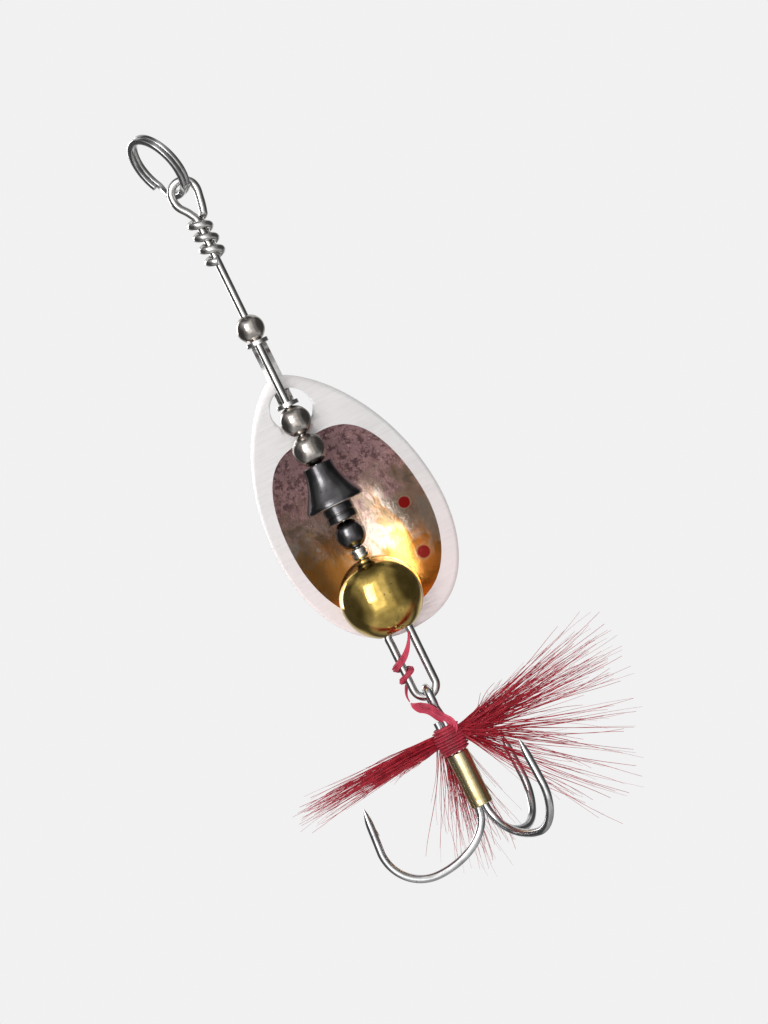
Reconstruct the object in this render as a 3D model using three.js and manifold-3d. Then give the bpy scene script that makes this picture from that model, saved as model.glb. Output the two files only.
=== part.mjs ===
import * as THREE from "three";
import { mergeVertices } from "three/addons/utils/BufferGeometryUtils.js";
import Module from "manifold-3d";

// Inline spinner, hanging from its line ring. Millimetres, +Z up along the main wire.
// The origin is on the inside of the ring's crown, where a line or a snap pulls.
// +X is to the right and +Y is away from someone who looks into the blade's bowl.

const wasm = await Module();
wasm.setup();

// ---------------------------------------------------------------- sizes (mm, degrees)

// Main wire
const wireDiameter = 0.56;
const wireSides = 10;
const boreClearance = 0.05;
const stackGap = 0.03;

// Line ring: two flat coils of one band
const ringOuterDiameter = 5.1;
const ringBandWidth = 0.42;
const ringCoilThickness = 0.32;
const ringCoilGap = 0.02;
const ringJogAngle = 36;
const ringSeamAngle = 75;
const ringTurnAngle = 25;
const ringLeanAngle = 20;
const ringStepsPerTurn = 40;

// Top eye and its wraps
const eyeInnerWidth = 1.24;
const eyeNeckDrop = 1.75;
const eyeSeatRise = 0.13;
const wrapTurns = 3.75;
const wrapPitch = 0.9;
const wrapGap = 0.02;
const wrapStepsPerTurn = 14;
// Sides of the eye from the neck up, as [share of the eye's radius, share of the neck drop]
const eyeTuck = [0.15, 0.28];
const eyeRightFlank = [0.93, 0.66];
const eyeLeftFlank = [-0.88, 0.62];
const eyeLeftNeck = [-0.4, 0.26];
const eyeLeftFoot = [0, -0.1];
const eyeTuckForward = 0.06;
const eyeSteps = 34;

// Pieces threaded on the wire
const beadTravel = 3.8;
const upperBeadDiameter = 1.95;
const upperBearingDiameter = 2.15;
const lowerBearingDiameter = 2.3;
const spacerBeadDiameter = 2.1;
const bellTopDiameter = 2.1;
const bellRimDiameter = 4.1;
const bellConeHeight = 2.7;
const bellRimHeight = 0.3;
const bellNeckDiameter = 2.2;
const bellNeckHeight = 1.15;
const collarDiameter = 1.25;
const collarHeight = 0.8;
const collarChamfer = 0.15;
const ballDiameter = 5.7;
const ballWideBoreDiameter = 2.4;
const ballWideBoreDepth = 1.35;

// Clevis
const clevisThickness = 0.28;
const clevisHeight = 4.9;
const clevisEarWidth = 1.56;
const clevisStripWidth = 1.1;
const clevisReach = 2.6;
// Bow of the clevis strip from its lower ear up, as [share of the reach, share of the height]
const clevisBow = [
  [0.17, 0],
  [0.5, 0.045],
  [0.74, 0.12],
  [0.93, 0.24],
  [1, 0.42],
  [0.95, 0.66],
  [0.76, 0.84],
  [0.46, 0.965],
  [0.17, 1],
];
const bladePivotReach = 0.74;
const clevisSteps = 48;

// Blade
const bladeLength = 19.6;
const bladeWidth = 12;
const bladeThickness = 0.5;
const bladeWidestFraction = 0.6;
const bladeShoulderFullness = 0.7;
const bladeTailFullness = 0.41;
const bladeHoleDiameter = 2.9;
const bladeHoleEdge = 1.1;
const bladeHoleClearance = 0.1;
const bladeLeanAngle = 4.5;
const bladeRestGap = 0.1;
const bowlTopInset = 4.8;
const bowlBottomInset = 1.35;
const bowlSideInset = 1.05;
const bowlWidestFraction = 0.52;
const bowlShoulderFullness = 0.31;
const bowlTailFullness = 0.42;
const bowlDepth = 1.75;
const bowlSteepness = 2.6;

// Lower loop
const loopHeight = 5.1;
const loopWireSpacing = 1.6;
const tailGap = 0.03;
const jogShare = 0.3;
const jogSteps = 10;

// Treble hook
const hookWireDiameter = 0.56;
const hookWireGap = 0.012;
const hookEyeInnerDiameter = 1.14;
const hookEyeGap = 0.03;
const hookNeckLength = 0.75;
const hookShankLength = 6.3;
const bendNearReach = 4.35;
const bendFarReach = 2.9;
const bendDepth = 2.95;
const spearLength = 3.3;
const spearInset = 0.25;
const pointLength = 1.4;
const pointTipFraction = 0.07;
const barbLength = 1.1;
const barbRootDiameter = 0.34;
const barbAngle = 15;
const hookTurnAngle = 4;
const hookBendSteps = 6;
const barbRootShare = 0.25;
const hookThroatSpread = 1.15;
const hookThroatRise = 0.35;
const hookThroatCentring = 0.3;
const hookEyeOpeningAngle = 40;
const hookEyeSteps = 26;

// Sleeve, winding and dressing
const sleeveBoreClearance = 0.02;
const sleeveWall = 0.14;
const sleeveLength = 3.9;
const windingLength = 1.95;
const windingThickness = 0.32;
const windingRidges = 7;
const windingRidgeHeight = 0.07;
const windingEndShare = 0.6;
const tuftStandOff = 0.12;
const tuftRootDiameter = 0.7;
const tuftFlattening = 0.6;
// Outline of a tuft, as [root to tip blend, share of the length, scale of the radius]
const tuftOutline = [
  [0, 0.02, 0.7],
  [0, 0.06, 1],
  [0.55, 0.5, 1],
  [1, 0.9, 1],
  [1, 0.97, 0.72],
];
const tuftSides = 16;
const tuftLeft = { length: 10.2, tip: 1.7, azimuth: 180, rise: -4, level: 0.6 };
const tuftRight = { length: 11.2, tip: 1.9, azimuth: 0, rise: 9, level: 0.8 };
const tuftLowRight = { length: 11.4, tip: 2.4, azimuth: 0, rise: -34, level: 0.3 };
const tuftBehind = { length: 9.6, tip: 1.5, azimuth: 110, rise: -68, level: 0.4 };
const loopThreadDiameter = 0.3;
const loopThreadTurns = 2.5;
const loopThreadTopShare = 0.33;
const loopThreadSpanShare = 0.35;
const loopThreadGap = 0.03;

// Facets round turned pieces
const smallTurnedSides = 28;
const bellSides = 36;
const largeTurnedSides = 44;
const bladeSides = 72;
const bladeEndCrowding = 0.35;

// ---------------------------------------------------------------- helpers

const radians = THREE.MathUtils.degToRad;

// A path that runs straight from each point to the next
class PointPath extends THREE.Curve {
  constructor(points) {
    super();
    this.points = points;
  }
  getPoint(t, target = new THREE.Vector3()) {
    const last = this.points.length - 1;
    const place = THREE.MathUtils.clamp(t, 0, 1) * last;
    const index = Math.min(Math.floor(place), last - 1);
    return target.lerpVectors(this.points[index], this.points[index + 1], place - index);
  }
  getUtoTmapping(u) {
    return u;
  }
}

function roundSection(diameter, sides) {
  const points = [];
  for (let i = 0; i < sides; i += 1) {
    const angle = (i / sides) * 2 * Math.PI;
    points.push(new THREE.Vector2(Math.cos(angle), Math.sin(angle)).multiplyScalar(diameter / 2));
  }
  return new THREE.Shape(points);
}

function flatSection(width, height) {
  const x = width / 2;
  const y = height / 2;
  const corners = [[-x, -y], [x, -y], [x, y], [-x, y]];
  return new THREE.Shape(corners.map(([a, b]) => new THREE.Vector2(a, b)));
}

function sweep(points, section) {
  return new THREE.ExtrudeGeometry(section, {
    steps: points.length - 1,
    bevelEnabled: false,
    extrudePath: new PointPath(points),
  });
}

// Even points on a smooth curve through a few guide points
function smooth(guides, divisions) {
  return new THREE.CatmullRomCurve3(guides, false, "centripetal").getSpacedPoints(divisions);
}

// A closed turned solid about Z from [radius, height] pairs
function turned(profile, sides) {
  const geometry = new THREE.LatheGeometry(
    profile.map(([r, z]) => new THREE.Vector2(r, z)),
    sides,
  );
  return geometry.rotateX(Math.PI / 2);
}

function toSolid(geometry) {
  const bare = new THREE.BufferGeometry();
  bare.setAttribute("position", geometry.getAttribute("position"));
  bare.setIndex(geometry.getIndex());
  const merged = mergeVertices(bare, 1e-4);
  const positions = new Float32Array(merged.getAttribute("position").array);
  const triangles = [];
  const source = merged.getIndex().array;
  for (let i = 0; i < source.length; i += 3) {
    const [a, b, c] = [source[i], source[i + 1], source[i + 2]];
    if (a !== b && b !== c && c !== a) {
      triangles.push(a, b, c);
    }
  }
  const mesh = new wasm.Mesh({
    numProp: 3,
    vertProperties: positions,
    triVerts: new Uint32Array(triangles),
  });
  mesh.merge();
  return new wasm.Manifold(mesh);
}

function toGeometry(solid) {
  const mesh = solid.getMesh();
  const positions = new Float32Array(mesh.numVert * 3);
  for (let i = 0; i < mesh.numVert; i += 1) {
    for (let k = 0; k < 3; k += 1) {
      positions[3 * i + k] = mesh.vertProperties[mesh.numProp * i + k];
    }
  }
  const geometry = new THREE.BufferGeometry();
  geometry.setAttribute("position", new THREE.BufferAttribute(positions, 3));
  geometry.setIndex(new THREE.BufferAttribute(new Uint32Array(mesh.triVerts), 1));
  return geometry;
}

// ---------------------------------------------------------------- derived sizes

const wireRadius = wireDiameter / 2;
const boreRadius = wireRadius + boreClearance;
const hookWireRadius = hookWireDiameter / 2;

const ringPathRadius = (ringOuterDiameter - ringBandWidth) / 2;
const ringInnerRadius = ringOuterDiameter / 2 - ringBandWidth;
const ringAxis = new THREE.Vector3(
  -Math.sin(radians(ringLeanAngle)),
  0,
  Math.cos(radians(ringLeanAngle)),
);
const ringCentre = ringAxis.clone().multiplyScalar(-ringInnerRadius);
const swingPivot = ringCentre.clone().addScaledVector(ringAxis, -ringPathRadius);

// The wire hangs below the ring; every piece on it shares this axis.
const axisX = swingPivot.x;
const eyeCentreZ = swingPivot.z - eyeSeatRise;
const neckZ = eyeCentreZ - eyeNeckDrop;
const wrapBottomZ = neckZ - wrapTurns * wrapPitch - wireRadius;

function beadHeight(diameter) {
  return 2 * Math.sqrt((diameter / 2) ** 2 - boreRadius ** 2);
}

// Tops of the threaded pieces, each resting on the next with a small gap
const upperBeadTop = wrapBottomZ - stackGap - beadTravel;
const clevisTop = upperBeadTop - beadHeight(upperBeadDiameter) - stackGap;
const upperBearingTop = clevisTop - clevisHeight - stackGap;
const lowerBearingTop = upperBearingTop - beadHeight(upperBearingDiameter) - stackGap;
const bellTop = lowerBearingTop - beadHeight(lowerBearingDiameter) - stackGap;
const bellHeight = bellConeHeight + bellRimHeight + bellNeckHeight;
const spacerTop = bellTop - bellHeight - stackGap;
const collarTop = spacerTop - beadHeight(spacerBeadDiameter) - stackGap;
const ballTop = collarTop - collarHeight - stackGap;
const ballRadius = ballDiameter / 2;
const ballCentreZ = ballTop - Math.sqrt(ballRadius ** 2 - boreRadius ** 2);
const ballBottomZ = ballCentreZ - Math.sqrt(ballRadius ** 2 - (ballWideBoreDiameter / 2) ** 2);
const ballShoulderZ = ballBottomZ + ballWideBoreDepth;

// Lower loop and the treble hook that hangs on it
const loopRadius = loopWireSpacing / 2;
const loopBottomZ = ballBottomZ - loopHeight;
const loopCentreZ = loopBottomZ + wireRadius + loopRadius;
const hookPivotZ = loopBottomZ + wireRadius;
const hookEyePathRadius = (hookEyeInnerDiameter + hookWireDiameter) / 2;
const hookEyeTopZ = hookPivotZ + wireRadius + hookEyeGap + hookWireRadius;
const hookEyeCentreZ = hookEyeTopZ - hookEyePathRadius;
const hookEyeBottomZ = hookEyeCentreZ - hookEyePathRadius;
const shankTopZ = hookEyeBottomZ - hookNeckLength;
const bendStartZ = shankTopZ - hookShankLength;
const shankOffset = (hookWireDiameter + hookWireGap) / Math.sqrt(3);
const shankBundleRadius = shankOffset + hookWireRadius;
const sleeveTopZ = bendStartZ + sleeveLength;

// ---------------------------------------------------------------- line ring

function ringGeometry() {
  const coilRise = ringCoilThickness + ringCoilGap;
  const jog = ringJogAngle / 360;
  const steps = Math.round((2 - jog) * ringStepsPerTurn);
  const points = [];
  for (let i = 0; i <= steps; i += 1) {
    const turns = (i / steps) * (2 - jog);
    const angle = radians(ringSeamAngle) + turns * 2 * Math.PI;
    const climb = THREE.MathUtils.smoothstep(turns, 1 - jog, 1);
    points.push(
      new THREE.Vector3(
        ringPathRadius * Math.cos(angle),
        ringPathRadius * Math.sin(angle),
        (climb - 0.5) * coilRise,
      ),
    );
  }
  const geometry = sweep(points, flatSection(ringCoilThickness, ringBandWidth));
  geometry.rotateY(Math.PI / 2);
  geometry.rotateZ(radians(ringTurnAngle));
  geometry.rotateY(-radians(ringLeanAngle));
  return geometry.translate(ringCentre.x, ringCentre.y, ringCentre.z);
}

// ---------------------------------------------------------------- main wire

function shaftGeometry() {
  const eyeRadius = (eyeInnerWidth + wireDiameter) / 2;
  const wrapRadius = wireDiameter + wrapGap;
  const points = [];

  // Wraps, from their cut end up to the neck
  const wrapSteps = Math.round(wrapTurns * wrapStepsPerTurn);
  for (let i = 0; i <= wrapSteps; i += 1) {
    const turnsLeft = wrapTurns * (1 - i / wrapSteps);
    const angle = -turnsLeft * 2 * Math.PI;
    points.push(
      new THREE.Vector3(
        axisX + wrapRadius * Math.cos(angle),
        -wrapRadius * Math.sin(angle),
        neckZ - turnsLeft * wrapPitch,
      ),
    );
  }

  // Teardrop eye, over the top from right to left, and down into the shaft
  const flank = ([across, up]) =>
    new THREE.Vector3(axisX + across * eyeRadius, 0, neckZ + up * eyeNeckDrop);
  const tuck = flank(eyeTuck);
  tuck.x += wrapRadius;
  tuck.y -= eyeTuckForward;
  const eyeGuides = [new THREE.Vector3(axisX + wrapRadius, 0, neckZ), tuck, flank(eyeRightFlank)];
  for (let angle = 0; angle <= 180; angle += 30) {
    eyeGuides.push(
      new THREE.Vector3(
        axisX + eyeRadius * Math.cos(radians(angle)),
        0,
        eyeCentreZ + eyeRadius * Math.sin(radians(angle)),
      ),
    );
  }
  eyeGuides.push(flank(eyeLeftFlank), flank(eyeLeftNeck), flank(eyeLeftFoot));
  points.push(...smooth(eyeGuides, eyeSteps).slice(1));

  // Shaft, the jog inside the ball, the loop and its tail
  const tailZ = ballShoulderZ - tailGap;
  const loopGuides = [
    new THREE.Vector3(axisX, 0, tailZ),
    new THREE.Vector3(axisX - jogShare * loopRadius, 0, tailZ - jogShare * ballWideBoreDepth),
    new THREE.Vector3(axisX - loopRadius, 0, ballBottomZ - wireDiameter / 4),
    new THREE.Vector3(axisX - loopRadius, 0, ballBottomZ - wireDiameter),
  ];
  points.push(...smooth(loopGuides, jogSteps));
  for (let angle = 180; angle <= 360; angle += 15) {
    points.push(
      new THREE.Vector3(
        axisX + loopRadius * Math.cos(radians(angle)),
        0,
        loopCentreZ + loopRadius * Math.sin(radians(angle)),
      ),
    );
  }
  points.push(new THREE.Vector3(axisX + loopRadius, 0, tailZ));
  return sweep(points, roundSection(wireDiameter, wireSides));
}

// ---------------------------------------------------------------- beads, bell, collar, ball

function beadGeometry(diameter, top, sides) {
  const radius = diameter / 2;
  const half = beadHeight(diameter) / 2;
  const edge = Math.asin(boreRadius / radius);
  const arcSteps = 14;
  const profile = [];
  for (let i = 0; i <= arcSteps; i += 1) {
    const angle = edge + (i / arcSteps) * (Math.PI - 2 * edge);
    profile.push([radius * Math.sin(angle), -radius * Math.cos(angle)]);
  }
  profile.push([boreRadius, -half]);
  return turned(profile, sides).translate(axisX, 0, top - half);
}

function bellGeometry() {
  const flareSteps = 8;
  const rise = bellNeckHeight + bellRimHeight;
  const profile = [
    [boreRadius, 0],
    [bellNeckDiameter / 2, 0],
    [bellNeckDiameter / 2, bellNeckHeight],
    [bellRimDiameter / 2, bellNeckHeight],
    [bellRimDiameter / 2, rise],
  ];
  for (let i = 1; i <= flareSteps; i += 1) {
    const share = i / flareSteps;
    const narrowing = Math.sin((share * Math.PI) / 2);
    const radius = THREE.MathUtils.lerp(bellRimDiameter, bellTopDiameter, narrowing) / 2;
    profile.push([radius, rise + share * bellConeHeight]);
  }
  profile.push([boreRadius, bellHeight]);
  profile.push([boreRadius, 0]);
  return turned(profile, bellSides).translate(axisX, 0, bellTop - bellHeight);
}

function collarGeometry() {
  const radius = collarDiameter / 2;
  const profile = [
    [boreRadius, 0],
    [radius - collarChamfer, 0],
    [radius, collarChamfer],
    [radius, collarHeight - collarChamfer],
    [radius - collarChamfer, collarHeight],
    [boreRadius, collarHeight],
    [boreRadius, 0],
  ];
  return turned(profile, smallTurnedSides).translate(axisX, 0, collarTop - collarHeight);
}

function ballGeometry() {
  const wideRadius = ballWideBoreDiameter / 2;
  const lower = Math.asin(wideRadius / ballRadius);
  const upper = Math.PI - Math.asin(boreRadius / ballRadius);
  const arcSteps = 26;
  const profile = [[wideRadius, ballShoulderZ - ballCentreZ]];
  for (let i = 0; i <= arcSteps; i += 1) {
    const angle = THREE.MathUtils.lerp(lower, upper, i / arcSteps);
    profile.push([ballRadius * Math.sin(angle), -ballRadius * Math.cos(angle)]);
  }
  profile.push([boreRadius, ballShoulderZ - ballCentreZ]);
  profile.push(profile[0]);
  return turned(profile, largeTurnedSides).translate(axisX, 0, ballCentreZ);
}

// ---------------------------------------------------------------- clevis

// Middle line of the strip in the YZ plane, from the lower ear's end round to the upper one's
const clevisSpan = clevisHeight - clevisThickness;
const clevisLowEarZ = clevisTop - clevisHeight + clevisThickness / 2;
const clevisEarEnd = clevisEarWidth / 2;
const clevisBackY = -clevisEarEnd - clevisThickness;
const clevisLine = smooth(
  [
    new THREE.Vector3(0, clevisBackY, 0),
    ...clevisBow.map(([out, up]) => new THREE.Vector3(0, out * clevisReach, up * clevisSpan)),
    new THREE.Vector3(0, clevisBackY, clevisSpan),
  ],
  clevisSteps,
);

// Where the strip passes through the blade's hole
const bladePivotIndex = clevisLine.findIndex((p) => p.y >= bladePivotReach * clevisReach);
const bladePivot = clevisLine[bladePivotIndex].clone();
bladePivot.x = axisX;
bladePivot.z += clevisLowEarZ;

// The round edge of the hole stands clear of the strip's upper corners on both faces of the blade
const stripStep = clevisLine[bladePivotIndex + 1].clone().sub(clevisLine[bladePivotIndex - 1]);
const stripSlope = stripStep.z / stripStep.y;
const stripHalfHeight = (clevisThickness / 2) * Math.hypot(1, stripSlope);
const stripClimb = (bladeThickness / 2) * stripSlope;
const bladeHoleRadius = bladeHoleDiameter / 2;
const holeCornerDrop =
  bladeHoleRadius - Math.sqrt(bladeHoleRadius ** 2 - (clevisStripWidth / 2) ** 2);
const bladeHoleDrop = stripHalfHeight + stripClimb + holeCornerDrop + bladeHoleClearance;

function clevisGeometry() {
  const strip = sweep(clevisLine, flatSection(clevisEarWidth, clevisThickness));
  strip.translate(axisX, 0, clevisLowEarZ);

  // Round ears, and a narrower strip between them
  const ear = clevisEarWidth / 2;
  const waist = clevisStripWidth / 2;
  const meet = Math.sqrt(ear ** 2 - waist ** 2);
  const plan = new THREE.Shape();
  plan.moveTo(waist, meet);
  plan.lineTo(waist, clevisReach + clevisThickness);
  plan.lineTo(-waist, clevisReach + clevisThickness);
  plan.lineTo(-waist, meet);
  plan.absarc(0, 0, ear, Math.atan2(meet, -waist), Math.atan2(meet, waist) + 2 * Math.PI, false);
  const outline = new THREE.ExtrudeGeometry(plan, {
    depth: clevisHeight + 2 * clevisThickness,
    bevelEnabled: false,
    curveSegments: 24,
  });
  outline.translate(axisX, 0, clevisTop - clevisHeight - clevisThickness);

  const bore = new THREE.CylinderGeometry(boreRadius, boreRadius, 2 * clevisHeight, smallTurnedSides);
  bore.rotateX(Math.PI / 2);
  bore.translate(axisX, 0, clevisTop - clevisHeight / 2);
  return toGeometry(toSolid(strip).intersect(toSolid(outline)).subtract(toSolid(bore)));
}

// ---------------------------------------------------------------- blade

// Flat blade coordinates: x across, z up from the blade's top end, y out of the bowl's back.
const bladeWidestZ = -bladeWidestFraction * bladeLength;
const bowlLength = bladeLength - bowlTopInset - bowlBottomInset;
const bowlWidth = bladeWidth - 2 * bowlSideInset;
const bowlWidestZ = -bowlTopInset - bowlWidestFraction * bowlLength;

// Outline point at a turn angle, as half an egg above its widest line and half below it
function eggPoint(angle, widestZ, riseAbove, dropBelow, halfWidth, fullAbove, fullBelow) {
  const up = Math.sin(angle);
  const reach = up >= 0 ? riseAbove : dropBelow;
  const fullness = up >= 0 ? fullAbove : fullBelow;
  const across = Math.sign(Math.cos(angle)) * Math.abs(Math.cos(angle)) ** (2 * fullness);
  return new THREE.Vector2(halfWidth * across, widestZ + reach * up);
}

function bladeOutline(angle) {
  const rise = bladeWidestFraction * bladeLength;
  const drop = bladeLength - rise;
  const half = bladeWidth / 2;
  return eggPoint(
    angle, bladeWidestZ, rise, drop, half, bladeShoulderFullness, bladeTailFullness,
  );
}

function bowlOutline(angle) {
  const rise = bowlWidestFraction * bowlLength;
  const drop = bowlLength - rise;
  const half = bowlWidth / 2;
  return eggPoint(
    angle, bowlWidestZ, rise, drop, half, bowlShoulderFullness, bowlTailFullness,
  );
}

function bowlDepthAt(share) {
  return bowlDepth * (1 - share ** bowlSteepness);
}

// Least tilt that keeps the bowl clear of the ball in front of it
function bladeRestTilt() {
  const pivotBelowTop = bladeHoleEdge + bladeHoleDrop;
  let tilt = 0;
  for (let angle = -80; angle <= 80; angle += 4) {
    const z = ballCentreZ + ballRadius * Math.sin(radians(angle));
    const reach = ballRadius * Math.cos(radians(angle));
    const drop = bladePivot.z - z;
    const along = -drop - pivotBelowTop;
    const across = drop * Math.sin(radians(bladeLeanAngle));
    const extent = along > bowlWidestZ ? bowlWidestFraction : 1 - bowlWidestFraction;
    const share = Math.hypot(
      (along - bowlWidestZ) / (extent * bowlLength),
      across / (bowlWidth / 2),
    );
    const depth = share < 1 ? bowlDepthAt(share) : 0;
    const onBlade = -along < bladeLength;
    const needed = reach + bladeRestGap + bladeThickness / 2 - bladePivot.y - depth;
    if (onBlade) {
      tilt = Math.max(tilt, Math.atan2(needed, drop));
    }
  }
  return tilt;
}

function bladeGeometry() {
  // Dish section: share of the radius, then height; the first half is bowl, the second half rim
  const bowlSteps = 9;
  const rimSteps = 3;
  const half = bladeThickness / 2;
  const middle = [];
  for (let i = 0; i <= bowlSteps; i += 1) {
    const share = i / bowlSteps;
    middle.push([share / 2, bowlDepthAt(share)]);
  }
  for (let i = 1; i <= rimSteps; i += 1) {
    middle.push([0.5 + (0.5 * i) / rimSteps, 0]);
  }
  const front = middle.map(([r, y]) => new THREE.Vector2(r, y - half));
  const back = middle.map(([r, y]) => new THREE.Vector2(r, y + half)).reverse();
  const dish = new THREE.LatheGeometry([...front, ...back], bladeSides);

  // Stretch the round dish to the two outlines, with more of its facets at the blade's ends
  const positions = dish.getAttribute("position");
  const centre = new THREE.Vector2(0, bowlWidestZ);
  for (let i = 0; i < positions.count; i += 1) {
    const x = positions.getX(i);
    const z = positions.getZ(i);
    const share = Math.hypot(x, z);
    const turn = Math.atan2(z, x);
    const angle = turn + bladeEndCrowding * Math.sin(2 * turn);
    const inner = bowlOutline(angle);
    const outer = bladeOutline(angle);
    const place =
      share <= 0.5
        ? centre.clone().lerp(inner, 2 * share)
        : inner.clone().lerp(outer, 2 * share - 1);
    positions.setXYZ(i, place.x, positions.getY(i), place.y);
  }

  const hole = new THREE.CylinderGeometry(
    bladeHoleRadius,
    bladeHoleRadius,
    4 * bladeThickness,
    smallTurnedSides,
  );
  hole.translate(0, 0, -bladeHoleEdge - bladeHoleRadius);
  const geometry = toGeometry(toSolid(dish).subtract(toSolid(hole)));

  // Hang it on the clevis: pivot at the strip, foot tilted out past the ball, leaning a little
  geometry.translate(0, 0, bladeHoleEdge + bladeHoleDrop);
  geometry.rotateY(-radians(bladeLeanAngle));
  geometry.rotateX(bladeRestTilt());
  return geometry.translate(bladePivot.x, bladePivot.y, bladePivot.z);
}

// ---------------------------------------------------------------- treble hook

const hookAzimuths = {
  left: radians(180 + hookTurnAngle),
  front: radians(-60 + hookTurnAngle),
  back: radians(60 + hookTurnAngle),
};

// One shank, bend and spear, from the shank's top to the point
function hookPoints(azimuth, topZ) {
  const out = new THREE.Vector3(Math.cos(azimuth), Math.sin(azimuth), 0);
  const at = (reach, z) =>
    new THREE.Vector3(axisX, 0, z).addScaledVector(out, shankOffset + reach);
  const points = [at(0, topZ), at(0, bendStartZ)];
  for (let i = 1; i <= hookBendSteps; i += 1) {
    const a = (i / hookBendSteps) * (Math.PI / 2);
    points.push(at(bendNearReach * (1 - Math.cos(a)), bendStartZ - bendDepth * Math.sin(a)));
  }
  for (let i = 1; i <= hookBendSteps; i += 1) {
    const a = (i / hookBendSteps) * (Math.PI / 2);
    const reach = bendNearReach + bendFarReach * Math.sin(a);
    points.push(at(reach, bendStartZ - bendDepth * Math.cos(a)));
  }
  const reach = bendNearReach + bendFarReach;
  const straight = spearLength - pointLength;
  points.push(at(reach - (spearInset * straight) / spearLength, bendStartZ + straight));
  points.push(at(reach - spearInset, bendStartZ + spearLength));
  return points;
}

// Narrow the last stretch of a swept wire to a sharp point
function sharpen(geometry, points) {
  const tip = points[points.length - 1];
  const back = points[points.length - 2].clone().sub(tip);
  const length = back.length();
  back.normalize();
  const positions = geometry.getAttribute("position");
  const vertex = new THREE.Vector3();
  for (let i = 0; i < positions.count; i += 1) {
    vertex.fromBufferAttribute(positions, i);
    const along = vertex.clone().sub(tip).dot(back);
    const centre = tip.clone().addScaledVector(back, along);
    const offset = vertex.clone().sub(centre);
    if (along < length / 2 && along > -hookWireRadius && offset.length() < hookWireDiameter) {
      vertex.copy(centre).addScaledVector(offset, pointTipFraction);
      positions.setXYZ(i, vertex.x, vertex.y, vertex.z);
    }
  }
}

// A sliver raised on the inner side of the spear, pointing back down into the bend
function barbGeometry(points, azimuth) {
  const start = points[points.length - 2];
  const tip = points[points.length - 1];
  const barb = new THREE.ConeGeometry(barbRootDiameter / 2, barbLength, 6);
  barb.translate(0, barbLength / 2, 0);
  barb.rotateX(-Math.PI / 2);
  barb.rotateY(radians(barbAngle));
  barb.rotateZ(azimuth);
  const root = start.clone().lerp(tip, barbRootShare);
  return barb.translate(root.x, root.y, root.z);
}

function doubleHookGeometry() {
  const front = hookPoints(hookAzimuths.front, shankTopZ);
  const back = hookPoints(hookAzimuths.back, shankTopZ);
  const side = front[0].clone().sub(back[0]);
  const half = side.length() / 2;
  side.normalize();
  const middle = front[0].clone().add(back[0]).multiplyScalar(0.5);
  middle.z = 0;
  const axis = new THREE.Vector3(axisX, 0, 0);
  const eyeAt = (across, z, centring) =>
    middle.clone().lerp(axis, centring).addScaledVector(side, across).setZ(z);
  const throat = hookThroatSpread * half;
  const throatZ = shankTopZ + hookThroatRise * hookNeckLength;
  const eyeGuides = [eyeAt(half, shankTopZ, 0), eyeAt(throat, throatZ, hookThroatCentring)];
  const eyeArcs = 8;
  for (let i = 0; i <= eyeArcs; i += 1) {
    const a = radians(hookEyeOpeningAngle - 90 + (i / eyeArcs) * (360 - 2 * hookEyeOpeningAngle));
    eyeGuides.push(
      eyeAt(hookEyePathRadius * Math.cos(a), hookEyeCentreZ + hookEyePathRadius * Math.sin(a), 1),
    );
  }
  eyeGuides.push(eyeAt(-throat, throatZ, hookThroatCentring), eyeAt(-half, shankTopZ, 0));
  const eye = smooth(eyeGuides, hookEyeSteps).slice(1, -1);
  const points = [...front.slice().reverse(), ...eye, ...back];
  const wire = sweep(points, roundSection(hookWireDiameter, wireSides));
  sharpen(wire, front);
  sharpen(wire, back);
  const barbs = toSolid(barbGeometry(front, hookAzimuths.front)).add(
    toSolid(barbGeometry(back, hookAzimuths.back)),
  );
  return toGeometry(toSolid(wire).add(barbs));
}

function singleHookGeometry() {
  const points = hookPoints(hookAzimuths.left, shankTopZ);
  const wire = sweep(points, roundSection(hookWireDiameter, wireSides));
  sharpen(wire, points);
  return toGeometry(toSolid(wire).add(toSolid(barbGeometry(points, hookAzimuths.left))));
}

// ---------------------------------------------------------------- sleeve, winding, tufts

const sleeveBoreRadius = shankBundleRadius + sleeveBoreClearance;

function sleeveGeometry() {
  const outer = sleeveBoreRadius + sleeveWall;
  const profile = [
    [sleeveBoreRadius, 0],
    [outer, 0],
    [outer, sleeveLength],
    [sleeveBoreRadius, sleeveLength],
    [sleeveBoreRadius, 0],
  ];
  return turned(profile, smallTurnedSides).translate(axisX, 0, bendStartZ);
}

function windingGeometry() {
  const stepsPerRidge = 6;
  const steps = windingRidges * stepsPerRidge;
  const profile = [[sleeveBoreRadius, 0]];
  for (let i = 0; i <= steps; i += 1) {
    const share = i / steps;
    const ridge = windingRidgeHeight * Math.abs(Math.sin(share * windingRidges * Math.PI));
    const swell = THREE.MathUtils.lerp(windingEndShare, 1, Math.sin(share * Math.PI));
    const belly = windingThickness * swell;
    profile.push([sleeveBoreRadius + belly + ridge, share * windingLength]);
  }
  profile.push([sleeveBoreRadius, windingLength]);
  profile.push(profile[0]);
  return turned(profile, smallTurnedSides).translate(axisX, 0, sleeveTopZ + stackGap);
}

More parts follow.
